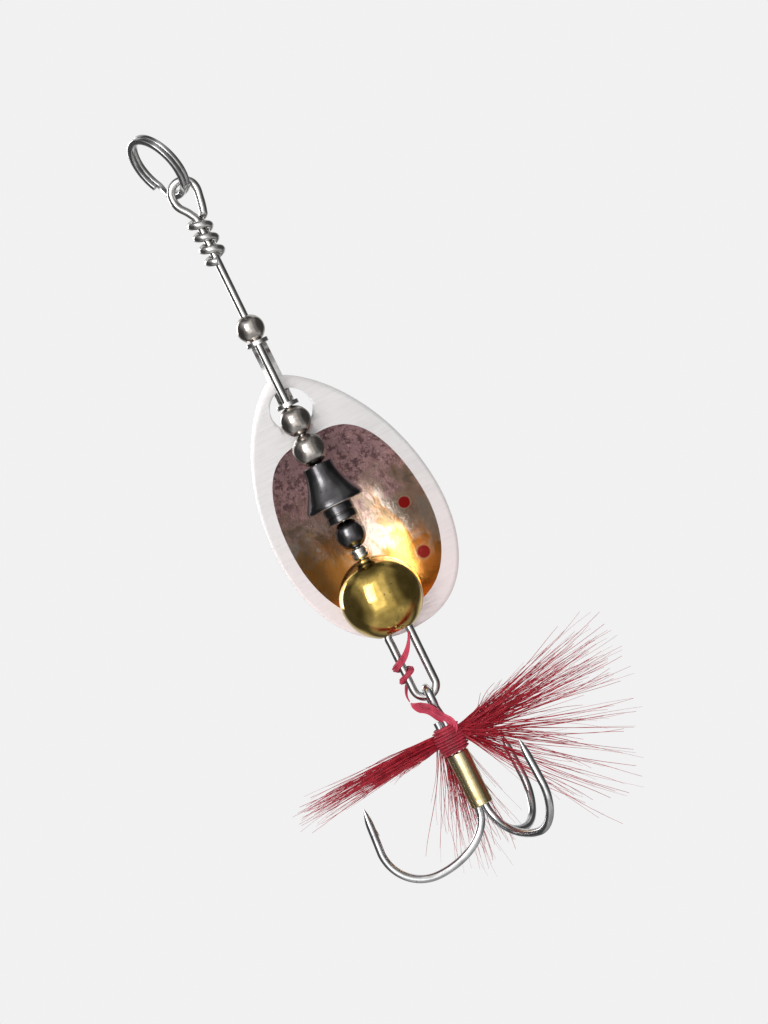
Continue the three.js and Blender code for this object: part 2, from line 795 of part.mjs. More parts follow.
function tuftGeometry({ length, tip, azimuth, rise, level }) {
  const widths = tuftOutline.map(([blend, share, scale]) => [
    (scale * THREE.MathUtils.lerp(tuftRootDiameter, tip, blend)) / 2,
    share * length,
  ]);
  const geometry = turned([[0, 0], ...widths, [0, length]], tuftSides);
  geometry.scale(1, tuftFlattening, 1);
  geometry.rotateY(radians(90 - rise));
  geometry.rotateZ(radians(azimuth));
  const start = sleeveBoreRadius + windingThickness + windingRidgeHeight + tuftStandOff;
  return geometry.translate(
    axisX + start * Math.cos(radians(azimuth)),
    start * Math.sin(radians(azimuth)),
    sleeveTopZ + stackGap + level * windingLength,
  );
}

function loopThreadGeometry() {
  const radius = wireRadius + loopThreadGap + loopThreadDiameter / 2;
  const steps = Math.round(loopThreadTurns * wrapStepsPerTurn);
  const top = ballBottomZ - loopThreadTopShare * loopHeight;
  const points = [];
  for (let i = 0; i <= steps; i += 1) {
    const share = i / steps;
    const angle = share * loopThreadTurns * 2 * Math.PI;
    points.push(
      new THREE.Vector3(
        axisX - loopRadius + radius * Math.cos(angle),
        radius * Math.sin(angle),
        top - share * loopThreadSpanShare * loopHeight,
      ),
    );
  }
  return sweep(points, roundSection(loopThreadDiameter, 8));
}

// ---------------------------------------------------------------- materials and assembly

const looks = {
  nickel: { color: 0xb9bcbf, roughness: 0.25, metalness: 1 },
  steel: { color: 0xc3c4c2, roughness: 0.28, metalness: 1 },
  bead: { color: 0x9c958c, roughness: 0.3, metalness: 1 },
  blackNickel: { color: 0x3c3a3b, roughness: 0.22, metalness: 1 },
  blade: { color: 0xd9cfcb, roughness: 0.35, metalness: 1 },
  brass: { color: 0xc29a3e, roughness: 0.16, metalness: 1 },
  sleeve: { color: 0xd8c178, roughness: 0.3, metalness: 1 },
  hook: { color: 0xc9cacb, roughness: 0.24, metalness: 1 },
  thread: { color: 0xa52a3c, roughness: 0.7, metalness: 0 },
  fibre: { color: 0x8c1622, roughness: 0.85, metalness: 0 },
};

const group = new THREE.Group();
group.name = "inline_spinner";

function addPiece(name, geometry, look) {
  const material = new THREE.MeshStandardMaterial({ ...looks[look], name });
  const mesh = new THREE.Mesh(geometry, material);
  mesh.name = name;
  group.add(mesh);
}

addPiece("line_ring", ringGeometry(), "nickel");
addPiece("main_wire", shaftGeometry(), "steel");
addPiece("upper_bead", beadGeometry(upperBeadDiameter, upperBeadTop, smallTurnedSides), "bead");
addPiece("clevis", clevisGeometry(), "nickel");
addPiece("blade", bladeGeometry(), "blade");
addPiece(
  "upper_bearing_bead",
  beadGeometry(upperBearingDiameter, upperBearingTop, smallTurnedSides),
  "bead",
);
addPiece(
  "lower_bearing_bead",
  beadGeometry(lowerBearingDiameter, lowerBearingTop, smallTurnedSides),
  "bead",
);
addPiece("bell_body", bellGeometry(), "blackNickel");
addPiece("spacer_bead", beadGeometry(spacerBeadDiameter, spacerTop, smallTurnedSides), "blackNickel");
addPiece("collar", collarGeometry(), "steel");
addPiece("brass_ball", ballGeometry(), "brass");
addPiece("loop_thread", loopThreadGeometry(), "thread");
addPiece("double_hook", doubleHookGeometry(), "hook");
addPiece("single_hook", singleHookGeometry(), "hook");
addPiece("shank_sleeve", sleeveGeometry(), "sleeve");
addPiece("tying_thread", windingGeometry(), "thread");
addPiece("tuft_left", tuftGeometry(tuftLeft), "fibre");
addPiece("tuft_right", tuftGeometry(tuftRight), "fibre");
addPiece("tuft_low_right", tuftGeometry(tuftLowRight), "fibre");
addPiece("tuft_behind", tuftGeometry(tuftBehind), "fibre");

export default group;
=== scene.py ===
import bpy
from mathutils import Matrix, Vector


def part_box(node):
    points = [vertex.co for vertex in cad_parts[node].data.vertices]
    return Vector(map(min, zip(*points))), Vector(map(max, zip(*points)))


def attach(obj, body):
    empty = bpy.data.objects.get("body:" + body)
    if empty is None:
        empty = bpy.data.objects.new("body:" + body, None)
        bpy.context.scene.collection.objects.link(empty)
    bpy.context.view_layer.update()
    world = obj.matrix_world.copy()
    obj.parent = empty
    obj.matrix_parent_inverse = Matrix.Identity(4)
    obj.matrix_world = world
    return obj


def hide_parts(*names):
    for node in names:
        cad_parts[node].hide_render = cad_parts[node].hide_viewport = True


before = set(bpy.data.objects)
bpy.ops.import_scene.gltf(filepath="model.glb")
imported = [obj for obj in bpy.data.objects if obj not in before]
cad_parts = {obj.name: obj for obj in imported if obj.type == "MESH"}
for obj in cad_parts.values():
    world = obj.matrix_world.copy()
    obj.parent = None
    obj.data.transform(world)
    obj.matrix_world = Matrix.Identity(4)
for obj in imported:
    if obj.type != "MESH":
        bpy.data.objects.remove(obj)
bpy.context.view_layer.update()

import math
import random

import bmesh
import bpy
import numpy as np
from mathutils import Matrix, Vector

MM = 0.001
RNG = random.Random(20)


def node_box(name):
    lo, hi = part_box(name)
    return np.array(lo) / MM, np.array(hi) / MM


# ---------------------------------------------------------------- places, in mm

BALL_LO, BALL_HI = node_box("brass_ball")
AXIS_X = float((BALL_LO[0] + BALL_HI[0]) / 2)
BALL_R = 2.85
BALL_BORE_R = 1.2
BALL_BORE_DEPTH = 1.35
BORE_R = 0.33
WIRE_R = 0.28
SWING = np.array([AXIS_X, 0.0, -4.20043])


def axis_point(x, y, z):
    return np.array([AXIS_X + x, y, z])


# ---------------------------------------------------------------- mesh helpers

def new_object(name, verts, faces, smooth_angle=35):
    mesh = bpy.data.meshes.new(name)
    mesh.from_pydata([tuple(float(c) * MM for c in v) for v in verts], [], faces)
    mesh.validate()
    bm = bmesh.new()
    bm.from_mesh(mesh)
    bmesh.ops.recalc_face_normals(bm, faces=bm.faces)
    bm.to_mesh(mesh)
    bm.free()
    obj = bpy.data.objects.new(name, mesh)
    bpy.context.scene.collection.objects.link(obj)
    shade(mesh, smooth_angle)
    return obj


def shade(mesh, angle):
    mesh.polygons.foreach_set("use_smooth", [True] * len(mesh.polygons))
    mesh.set_sharp_from_angle(angle=math.radians(angle))
    mesh.update()


def bake_modifiers(obj, smooth_angle=35):
    depsgraph = bpy.context.evaluated_depsgraph_get()
    mesh = bpy.data.meshes.new_from_object(obj.evaluated_get(depsgraph))
    obj.modifiers.clear()
    old = obj.data
    obj.data = mesh
    bpy.data.meshes.remove(old)
    shade(mesh, smooth_angle)


def lathe(name, profile, segments, centre_z, closed=True, angle=35):
    """Turned solid about the wire from [radius, height] pairs."""
    verts, faces = [], []
    count = len(profile)
    for i in range(segments):
        a = 2 * math.pi * i / segments
        for r, z in profile:
            verts.append(axis_point(r * math.cos(a), r * math.sin(a), centre_z + z))
    rings = count if closed else count - 1
    for i in range(segments):
        j = (i + 1) % segments
        for k in range(rings):
            m = (k + 1) % count
            faces.append((i * count + k, j * count + k, j * count + m, i * count + m))
    return new_object(name, verts, faces, angle)


def frames(points):
    """Tangents and carried-along normals of a path."""
    p = np.asarray(points, float)
    t = np.gradient(p, axis=0)
    t /= np.linalg.norm(t, axis=1)[:, None]
    n = np.cross(t[0], [0, 0, 1])
    if np.linalg.norm(n) < 1e-3:
        n = np.cross(t[0], [0, 1, 0])
    n /= np.linalg.norm(n)
    normals = [n]
    for i in range(1, len(p)):
        n = normals[-1] - t[i] * np.dot(normals[-1], t[i])
        normals.append(n / np.linalg.norm(n))
    return t, np.array(normals)


def tube_data(points, radii, sides, base=0):
    """Vertices and faces of a round bar with closed ends."""
    p = np.asarray(points, float)
    t, n = frames(p)
    b = np.cross(t, n)
    verts, faces = [], []
    for i in range(len(p)):
        for k in range(sides):
            a = 2 * math.pi * k / sides
            verts.append(p[i] + radii[i] * (math.cos(a) * n[i] + math.sin(a) * b[i]))
    for i in range(len(p) - 1):
        for k in range(sides):
            m = (k + 1) % sides
            q = base + i * sides
            faces.append((q + k, q + m, q + sides + m, q + sides + k))
    faces.append(tuple(base + k for k in range(sides))[::-1])
    last = base + (len(p) - 1) * sides
    faces.append(tuple(last + k for k in range(sides)))
    return verts, faces


def tube(name, points, radii, sides=16):
    if np.isscalar(radii):
        radii = [radii] * len(points)
    verts, faces = tube_data(points, radii, sides)
    return new_object(name, verts, faces, 50)


def bundle(name, strands, sides=4):
    """Many thin bars in one mesh."""
    verts, faces = [], []
    for points, radii in strands:
        v, f = tube_data(points, radii, sides, base=len(verts))
        verts += v
        faces += f
    return new_object(name, verts, faces, 60)


def spline(guides, count):
    """Even points on a smooth curve through guide points."""
    g = np.asarray(guides, float)
    ext = np.vstack([2 * g[0] - g[1], g, 2 * g[-1] - g[-2]])
    fine = []
    for i in range(1, len(ext) - 2):
        p0, p1, p2, p3 = ext[i - 1:i + 3]
        k1 = math.sqrt(max(np.linalg.norm(p1 - p0), 1e-6))
        k2 = k1 + math.sqrt(max(np.linalg.norm(p2 - p1), 1e-6))
        k3 = k2 + math.sqrt(max(np.linalg.norm(p3 - p2), 1e-6))
        for s in np.linspace(k1, k2, 24, endpoint=False):
            a1 = (k1 - s) / k1 * p0 + s / k1 * p1
            a2 = (k2 - s) / (k2 - k1) * p1 + (s - k1) / (k2 - k1) * p2
            a3 = (k3 - s) / (k3 - k2) * p2 + (s - k2) / (k3 - k2) * p3
            b1 = (k2 - s) / k2 * a1 + s / k2 * a2
            b2 = (k3 - s) / (k3 - k1) * a2 + (s - k1) / (k3 - k1) * a3
            fine.append((k2 - s) / (k2 - k1) * b1 + (s - k1) / (k2 - k1) * b2)
    fine.append(ext[-2])
    fine = np.array(fine)
    length = np.concatenate([[0], np.cumsum(np.linalg.norm(np.diff(fine, axis=0), axis=1))])
    even = np.linspace(0, length[-1], count)
    return np.column_stack([np.interp(even, length, fine[:, k]) for k in range(3)])


# ---------------------------------------------------------------- material helpers

class Nodes:
    """Short calls for building one material's nodes."""

    def __init__(self, name):
        self.mat = bpy.data.materials.new(name)
        self.mat.use_nodes = True
        self.tree = self.mat.node_tree
        self.shader = self.tree.nodes["Principled BSDF"]

    def add(self, kind, **values):
        node = self.tree.nodes.new(kind)
        for key, value in values.items():
            setattr(node, key, value)
        return node

    def link(self, a, b):
        self.tree.links.new(a, b)

    def coords(self, scale=(1, 1, 1), turn=(0, 0, 0)):
        tex = self.add("ShaderNodeTexCoord")
        mapping = self.add("ShaderNodeMapping")
        mapping.inputs["Scale"].default_value = scale
        mapping.inputs["Rotation"].default_value = turn
        self.link(tex.outputs["Object"], mapping.inputs["Vector"])
        return mapping.outputs["Vector"]

    def height(self):
        """The piece's own height in metres."""
        tex = self.add("ShaderNodeTexCoord")
        split = self.add("ShaderNodeSeparateXYZ")
        self.link(tex.outputs["Object"], split.inputs[0])
        return split.outputs["Z"]

    def noise(self, vector, scale, detail=3.0, rough=0.55, distortion=0.0):
        node = self.add("ShaderNodeTexNoise")
        node.inputs["Scale"].default_value = scale
        node.inputs["Detail"].default_value = detail
        node.inputs["Roughness"].default_value = rough
        node.inputs["Distortion"].default_value = distortion
        self.link(vector, node.inputs["Vector"])
        return node.outputs["Fac"]

    def ramp(self, fac, stops):
        node = self.add("ShaderNodeValToRGB")
        ramp = node.color_ramp
        while len(ramp.elements) < len(stops):
            ramp.elements.new(0.5)
        for element, (pos, col) in zip(ramp.elements, stops):
            element.position = pos
            element.color = (*col, 1)
        self.link(fac, node.inputs["Fac"])
        return node.outputs["Color"]

    def span(self, value, lo, hi, out_lo=0.0, out_hi=1.0, smooth=False):
        node = self.add("ShaderNodeMapRange")
        if smooth:
            node.interpolation_type = "SMOOTHSTEP"
        node.inputs["From Min"].default_value = lo
        node.inputs["From Max"].default_value = hi
        node.inputs["To Min"].default_value = out_lo
        node.inputs["To Max"].default_value = out_hi
        self.link(value, node.inputs["Value"])
        return node.outputs["Result"]

    def math(self, kind, a, b=None):
        node = self.add("ShaderNodeMath", operation=kind)
        for socket, value in zip(node.inputs, (a, b)):
            if value is None:
                continue
            if isinstance(value, (int, float)):
                socket.default_value = value
            else:
                self.link(value, socket)
        return node.outputs[0]

    def mix(self, fac, a, b):
        node = self.add("ShaderNodeMix", data_type="RGBA")
        for socket, value in ((node.inputs[0], fac), (node.inputs[6], a), (node.inputs[7], b)):
            if isinstance(value, (int, float)):
                socket.default_value = value
            elif isinstance(value, tuple):
                socket.default_value = (*value, 1)
            else:
                self.link(value, socket)
        return node.outputs[2]

    def bump(self, height, strength, distance, normal=None):
        node = self.add("ShaderNodeBump")
        node.inputs["Strength"].default_value = strength
        node.inputs["Distance"].default_value = distance
        self.link(height, node.inputs["Height"])
        if normal is not None:
            self.link(normal, node.inputs["Normal"])
        return node.outputs["Normal"]

    def set(self, **values):
        for key, value in values.items():
            socket = self.shader.inputs[key.replace("_", " ")]
            if isinstance(value, (int, float)):
                socket.default_value = value
            elif isinstance(value, tuple):
                full = len(socket.default_value)
                socket.default_value = (*value, 1) if full > len(value) else value
            else:
                self.link(value, socket)


def plated(name, light, dark, rough=(0.1, 0.3), grain=(1, 1, 1), pits=0.12, patch=900.0):
    """Plated or polished metal: fine scratches along the grain, handling marks and tiny pits."""
    n = Nodes(name)
    here = n.coords()
    along = n.coords(scale=grain)
    patches = n.noise(here, patch, 4, 0.6)
    scratches = n.noise(along, 9000, 4, 0.65)
    specks = n.noise(here, 5200, 2, 0.5)
    colour = n.mix(n.span(patches, 0.35, 0.68, smooth=True), light, dark)
    colour = n.mix(n.span(specks, 0.66, 0.74), colour, tuple(0.5 * c for c in dark))
    worn = n.math("MULTIPLY", n.span(scratches, 0.3, 0.75), 0.6)
    worn = n.math("ADD", worn, n.math("MULTIPLY", n.span(patches, 0.4, 0.7), 0.4))
    n.set(Base_Color=colour, Metallic=1.0, Roughness=n.span(worn, 0, 1, *rough))
    n.set(Normal=n.bump(scratches, pits, 0.00002))
    return n.mat


# ---------------------------------------------------------------- materials

NICKEL = plated("nickel_ring", (0.80, 0.80, 0.79), (0.52, 0.52, 0.53), (0.09, 0.28))
STEEL = plated("wire_steel", (0.74, 0.73, 0.71), (0.50, 0.49, 0.48), (0.12, 0.32), (1, 1, 0.12))
BEAD = plated("bead_metal", (0.60, 0.56, 0.52), (0.40, 0.36, 0.33), (0.10, 0.30))
CLEVIS = plated("clevis_nickel", (0.80, 0.79, 0.77), (0.55, 0.54, 0.53), (0.12, 0.34), (0.2, 1, 1))
BLACK = plated("black_nickel", (0.17, 0.165, 0.17), (0.085, 0.08, 0.085), (0.12, 0.3), (1, 1, 6))
# Lighter metal for the bell rim's lower edge, a painted highlight.
BELL_RIM_HIGHLIGHT = plated("bell_rim_painted_highlight", (0.55, 0.53, 0.51), (0.30, 0.29, 0.28), (0.16, 0.34), (1, 1, 6))
COLLAR = plated("collar_nickel", (0.82, 0.80, 0.74), (0.6, 0.57, 0.5), (0.1, 0.26))
BRASS = plated("ball_brass", (0.80, 0.56, 0.16), (0.52, 0.36, 0.09), (0.05, 0.17), (1, 1, 5), 0.06)
SLEEVE = plated("sleeve_brass", (0.93, 0.80, 0.48), (0.78, 0.62, 0.31), (0.12, 0.3), (1, 1, 0.1))
HOOK = plated("hook_nickel", (0.80, 0.80, 0.80), (0.55, 0.55, 0.56), (0.08, 0.26))


def rim_silver():
    """Satin rim, brushed across the blade, with a faint warm tint low down."""
    n = Nodes("blade_rim")
    along = n.coords(scale=(0.14, 1, 1), turn=(0, math.radians(35), 0))
    here = n.coords()
    brush = n.noise(along, 5200, 6, 0.75)
    streak = n.noise(n.coords(scale=(0.06, 1, 1), turn=(0, math.radians(52), 0)), 7000, 6, 0.75)
    cloud = n.noise(here, 260, 3, 0.5)
    low = n.span(n.height(), -0.024, -0.038, smooth=True)
    tone = n.math("ADD", n.span(streak, 0.32, 0.7, 0, 0.7), n.span(cloud, 0.35, 0.7, 0, 0.3))
    colour = n.mix(tone, (0.53, 0.515, 0.51), (0.43, 0.415, 0.415))
    colour = n.mix(n.math("MULTIPLY", low, 0.5), colour, (0.66, 0.52, 0.51))
    n.set(Base_Color=colour, Metallic=1.0, Roughness=n.span(brush, 0.3, 0.75, 0.26, 0.48))
    n.set(Normal=n.bump(brush, 0.22, 0.00003))
    return n.mat


# Painted dots in the bowl as [x, z, radius] in mm, and the radius of the pale ring round each
DOTS = [(5.73, -29.5, 0.42), (5.46, -33.1, 0.44)]
HALO_R = 0.62


def dots(n, places):
    """1 inside any of the painted dots, given by their x, z in mm and radius."""
    tex = n.add("ShaderNodeTexCoord")
    total = None
    for x, z, radius in places:
        flat = n.add("ShaderNodeVectorMath", operation="MULTIPLY")
        n.link(tex.outputs["Object"], flat.inputs[0])
        flat.inputs[1].default_value = (1, 0, 1)
        away = n.add("ShaderNodeVectorMath", operation="DISTANCE")
        n.link(flat.outputs[0], away.inputs[0])
        away.inputs[1].default_value = (x * MM, 0, z * MM)
        inside = n.span(away.outputs["Value"], radius * MM * 1.12, radius * MM * 0.9)
        total = inside if total is None else n.math("MAXIMUM", total, inside)
    return total


def bowl_copper():
    """Foil-printed bowl, mottled mauve above, rosy and then amber below, under a scratched gloss; the cream
    and olive patches across its middle are a painted highlight and a painted reflection.
    """
    n = Nodes("blade_bowl")
    here = n.coords()
    stretched = n.coords(scale=(1, 1, 0.4), turn=(0, math.radians(-30), 0))
    haze = n.noise(here, 620, 5, 0.65, 0.6)
    fine = n.noise(here, 2300, 5, 0.72)
    grit = n.noise(here, 5200, 3, 0.6)
    hair = n.noise(stretched, 8000, 4, 0.7)
    height = n.span(n.height(), -0.0240, -0.0375)
    height = n.math("ADD", height, n.span(haze, 0.25, 0.75, -0.18, 0.18))
    colour = n.ramp(height, [
        (0.0, (0.40, 0.24, 0.25)),
        (0.2, (0.58, 0.35, 0.34)),
        (0.34, (0.94, 0.66, 0.54)),
        (0.46, (0.90, 0.52, 0.26)),
        (0.58, (0.92, 0.40, 0.08)),
        (1.0, (0.72, 0.22, 0.03)),
    ])
    # Cream patches in the bowl's middle are a painted highlight, olive patches a painted reflection.
    highlight_and_reflection_noise = n.noise(here, 190, 3, 0.6, 1.4)
    below_top = n.span(height, 0.2, 0.36, smooth=True)
    above_foot = n.span(height, 0.66, 0.5, smooth=True)
    middle = n.math("MULTIPLY", below_top, above_foot)
    painted_highlight = n.math("MULTIPLY", n.span(highlight_and_reflection_noise, 0.5, 0.58, smooth=True), middle)
    colour = n.mix(n.math("MULTIPLY", painted_highlight, 0.85), colour, (1.0, 0.84, 0.70))
    painted_reflection = n.math("MULTIPLY", n.span(highlight_and_reflection_noise, 0.46, 0.4, smooth=True), middle)
    colour = n.mix(n.math("MULTIPLY", painted_reflection, 0.7), colour, (0.44, 0.34, 0.20))
    above = n.span(height, 0.38, 0.08, smooth=True)
    blotch = n.math("MULTIPLY", n.span(fine, 0.45, 0.6, smooth=True), above)
    colour = n.mix(n.math("MULTIPLY", blotch, 0.9), colour, (0.12, 0.06, 0.065))
    speckled = n.math("ADD", n.math("MULTIPLY", above, 0.6), 0.15)
    speck = n.math("MULTIPLY", n.span(grit, 0.6, 0.68), speckled)
    colour = n.mix(speck, colour, (0.74, 0.52, 0.50))
    halo = dots(n, [(x, z, HALO_R) for x, z, _ in DOTS])
    colour = n.mix(n.math("MULTIPLY", halo, 0.35), colour, (0.95, 0.72, 0.5))
    spot = dots(n, DOTS)
    colour = n.mix(spot, colour, (0.30, 0.010, 0.010))
    metal = n.math("SUBTRACT", 0.95, n.math("MULTIPLY", n.math("MAXIMUM", above, spot), 0.42))
    rough = n.span(hair, 0.3, 0.75, 0.1, 0.24)
    rough = n.math("ADD", rough, n.math("MULTIPLY", above, 0.16))
    n.set(Base_Color=colour, Metallic=metal, Roughness=rough, Coat_Weight=0.35, Coat_Roughness=0.08)
    n.set(Normal=n.bump(hair, 0.1, 0.00002, n.bump(haze, 0.3, 0.00008)))
    return n.mat


def back_silver():
    """Outside of the stamped bowl: bright plate with drawing marks."""
    n = Nodes("blade_back")
    here = n.coords()
    draw = n.noise(n.coords(scale=(1, 1, 0.18)), 7000, 5, 0.7)
    cloud = n.noise(here, 500, 4, 0.6)
    colour = n.mix(n.span(cloud, 0.3, 0.7, smooth=True), (0.84, 0.83, 0.82), (0.66, 0.65, 0.65))
    n.set(Base_Color=colour, Metallic=1.0, Roughness=n.span(draw, 0.3, 0.75, 0.14, 0.34))
    n.set(Normal=n.bump(draw, 0.15, 0.00002))
    return n.mat


def thread_red(name, light, dark):
    """Waxed thread: fine twist along the strand."""
    n = Nodes(name)
    here = n.coords()
    twist = n.noise(n.coords(turn=(0.5, 0.4, 0.3)), 9000, 4, 0.6)
    patch = n.noise(here, 1100, 3, 0.6)
    colour = n.mix(n.span(patch, 0.3, 0.7, smooth=True), light, dark)
    n.set(Base_Color=colour, Roughness=n.span(twist, 0.3, 0.7, 0.42, 0.75), Metallic=0.0)
    n.set(Sheen_Weight=0.2, Sheen_Roughness=0.4, Sheen_Tint=(1.0, 0.5, 0.5))
    n.set(Normal=n.bump(twist, 0.5, 0.00004))
    return n.mat


def fibre_red():
    """Dyed hair: dark to brighter red in random patches, and a little translucent."""
    n = Nodes("red_fibre")
    here = n.coords()
    tone = n.noise(here, 1500, 3, 0.6)
    streak = n.noise(n.coords(scale=(0.2, 1, 1)), 12000, 3, 0.6)
    colour = n.ramp(tone, [
        (0.25, (0.15, 0.004, 0.011)),
        (0.5, (0.32, 0.009, 0.022)),
        (0.75, (0.58, 0.035, 0.055)),
    ])
    n.set(Base_Color=colour, Roughness=n.span(streak, 0.3, 0.7, 0.34, 0.6), Metallic=0.0)
    n.set(Sheen_Weight=0.15, Sheen_Roughness=0.35, Sheen_Tint=(1.0, 0.4, 0.4))
    n.set(Subsurface_Weight=0.12, Subsurface_Radius=(0.001, 0.0002, 0.0002), Subsurface_Scale=0.3)
    n.set(Normal=n.bump(streak, 0.3, 0.00002))
    return n.mat


RIM = rim_silver()
BOWL = bowl_copper()
BACK = back_silver()
THREAD = thread_red("red_thread", (0.42, 0.018, 0.045), (0.22, 0.008, 0.02))
FLOSS = thread_red("pink_floss", (0.60, 0.055, 0.11), (0.36, 0.02, 0.05))
FIBRE = fibre_red()


def finish_piece(obj, material, body, nodes):
    """Give a piece its material and say which body carries it and which nodes it replaces."""
    obj.data.materials.clear()
    obj.data.materials.append(material)
    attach(obj, body)
    if nodes:
        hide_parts(*nodes)
    return obj


# ---------------------------------------------------------------- line ring

RING_PATH_R, RING_OUTER_R = 2.34, 2.55
RING_BAND, RING_COIL, RING_CORNER, RING_GAP = 0.42, 0.32, 0.07, 0.02
RING_JOG = 0.1
RING_SEAM, RING_TURN, RING_LEAN = (math.radians(a) for a in (75, 25, 20))


def make_ring():
    """Double-coil split ring: a flat band with rounded edges, jogging from one coil to the other."""
    steps = 230
    section = []
    for cx, cy, start in ((1, 1, 0), (-1, 1, 90), (-1, -1, 180), (1, -1, 270)):
        for a in (0, 30, 60, 90):
            r = math.radians(start + a)
            section.append((
                cx * (RING_COIL / 2 - RING_CORNER) + RING_CORNER * math.cos(r),
                cy * (RING_BAND / 2 - RING_CORNER) + RING_CORNER * math.sin(r),
            ))
    verts, faces = [], []
    count = len(section)
    turn = (
        Matrix.Rotation(-RING_LEAN, 3, "Y")
        @ Matrix.Rotation(RING_TURN, 3, "Z")
        @ Matrix.Rotation(math.pi / 2, 3, "Y")
    )
    crown = RING_OUTER_R - RING_BAND
    centre = Vector((math.sin(RING_LEAN) * crown, 0, -math.cos(RING_LEAN) * crown))
    for i in range(steps + 1):
        turns = i / steps * (2 - RING_JOG)
        angle = RING_SEAM + turns * 2 * math.pi
        s = min(max((turns - (1 - RING_JOG)) / RING_JOG, 0), 1)
        level = (s * s * (3 - 2 * s) - 0.5) * (RING_COIL + RING_GAP)
        for axial, radial in section:
            r = RING_PATH_R + radial
            v = turn @ Vector((r * math.cos(angle), r * math.sin(angle), level + axial)) + centre
            verts.append(v)
    for i in range(steps):
        for k in range(count):
            m = (k + 1) % count
            q = i * count
            faces.append((q + k, q + m, q + count + m, q + count + k))
    faces.append(tuple(range(count)))
    faces.append(tuple(steps * count + k for k in range(count)))
    return new_object("split_ring", verts, faces, 50)


finish_piece(make_ring(), NICKEL, "ring", ["line_ring"])


# ---------------------------------------------------------------- main wire

TOP_EYE_R, TOP_EYE_SEAT, NECK_DROP = 0.9, 0.13, 1.75
WRAP_R, WRAP_TURNS, WRAP_PITCH = 0.58, 3.75, 0.9
LOOP_R, LOOP_H = 0.8, 5.1


def make_wire():
    """One wire: wraps up round the shaft, top eye, shaft, and the loop that ends inside the ball."""
    eye_r, neck_drop = TOP_EYE_R, NECK_DROP
    eye_z = SWING[2] - TOP_EYE_SEAT
    neck = eye_z - neck_drop
    points = []
    steps = 150
    for i in range(steps + 1):
        left = WRAP_TURNS * (1 - i / steps)
        a = -left * 2 * math.pi
        x, y = WRAP_R * math.cos(a), -WRAP_R * math.sin(a)
        points.append(axis_point(x, y, neck - left * WRAP_PITCH))
    guides = [
        axis_point(WRAP_R, 0, neck),
        axis_point(WRAP_R + 0.15 * eye_r, -0.06, neck + 0.28 * neck_drop),
        axis_point(0.93 * eye_r, 0, neck + 0.66 * neck_drop),
    ]
    for a in range(0, 181, 30):
        r = math.radians(a)
        guides.append(axis_point(eye_r * math.cos(r), 0, eye_z + eye_r * math.sin(r)))
    guides += [
        axis_point(-0.88 * eye_r, 0, neck + 0.62 * neck_drop),
        axis_point(-0.4 * eye_r, 0, neck + 0.26 * neck_drop),
        axis_point(0, 0, neck - 0.1 * neck_drop),
    ]
    points += list(spline(guides, 110)[1:])
    bottom = BALL_LO[2]
    tail = bottom + BALL_BORE_DEPTH - 0.03
    points += [axis_point(0, 0, z) for z in np.linspace(neck - 0.3 * neck_drop, tail + 0.4, 60)]
    guides = [
        axis_point(0, 0, tail),
        axis_point(-0.3 * LOOP_R, 0, tail - 0.3 * BALL_BORE_DEPTH),
        axis_point(-LOOP_R, 0, bottom - 0.1 * BALL_BORE_DEPTH),
        axis_point(-LOOP_R, 0, bottom - 2 * WIRE_R),
    ]
    points += list(spline(guides, 34))
    loop_z = bottom - LOOP_H + WIRE_R + LOOP_R
    points += [axis_point(-LOOP_R, 0, z) for z in np.linspace(bottom - 0.9, loop_z + 0.3, 8)]
    for a in range(180, 361, 6):
        r = math.radians(a)
        points.append(axis_point(LOOP_R * math.cos(r), 0, loop_z + LOOP_R * math.sin(r)))
    points += [axis_point(LOOP_R, 0, z) for z in np.linspace(loop_z + 0.3, tail, 14)]
    return tube("shaft_and_eyes", points, WIRE_R, 18)


finish_piece(make_wire(), STEEL, "wire", ["main_wire"])


# ---------------------------------------------------------------- beads, bell, collar, ball

def bead_profile(radius):
    """Outline of a bored bead whose bore edges are slightly broken."""
    steps = 30
    lip = 0.03
    edge = math.asin(BORE_R / radius)
    half = math.sqrt(radius ** 2 - BORE_R ** 2)
    profile = []
    for i in range(steps + 1):
        a = edge + (math.pi - 2 * edge) * i / steps
        profile.append((radius * math.sin(a), -radius * math.cos(a)))
    profile[0] = (BORE_R + lip, -half + lip * 0.2)
    profile[-1] = (BORE_R + lip, half - lip * 0.2)
    profile.append((BORE_R, half - lip))
    profile.append((BORE_R, -half + lip))
    return profile


def make_bead(name, node, radius, material, body):
    lo, hi = node_box(node)
    middle = (lo[2] + hi[2]) / 2
    obj = lathe(name, bead_profile(radius), 56, middle)
    return finish_piece(obj, material, body, [node])


make_bead("bead_top", "upper_bead", 0.975, BEAD, "upper_bead")
make_bead("bead_bearing_a", "upper_bearing_bead", 1.075, BEAD, "upper_bearing")
make_bead("bead_bearing_b", "lower_bearing_bead", 1.15, BEAD, "lower_bearing")
make_bead("bead_spacer", "spacer_bead", 1.05, BLACK, "spacer")


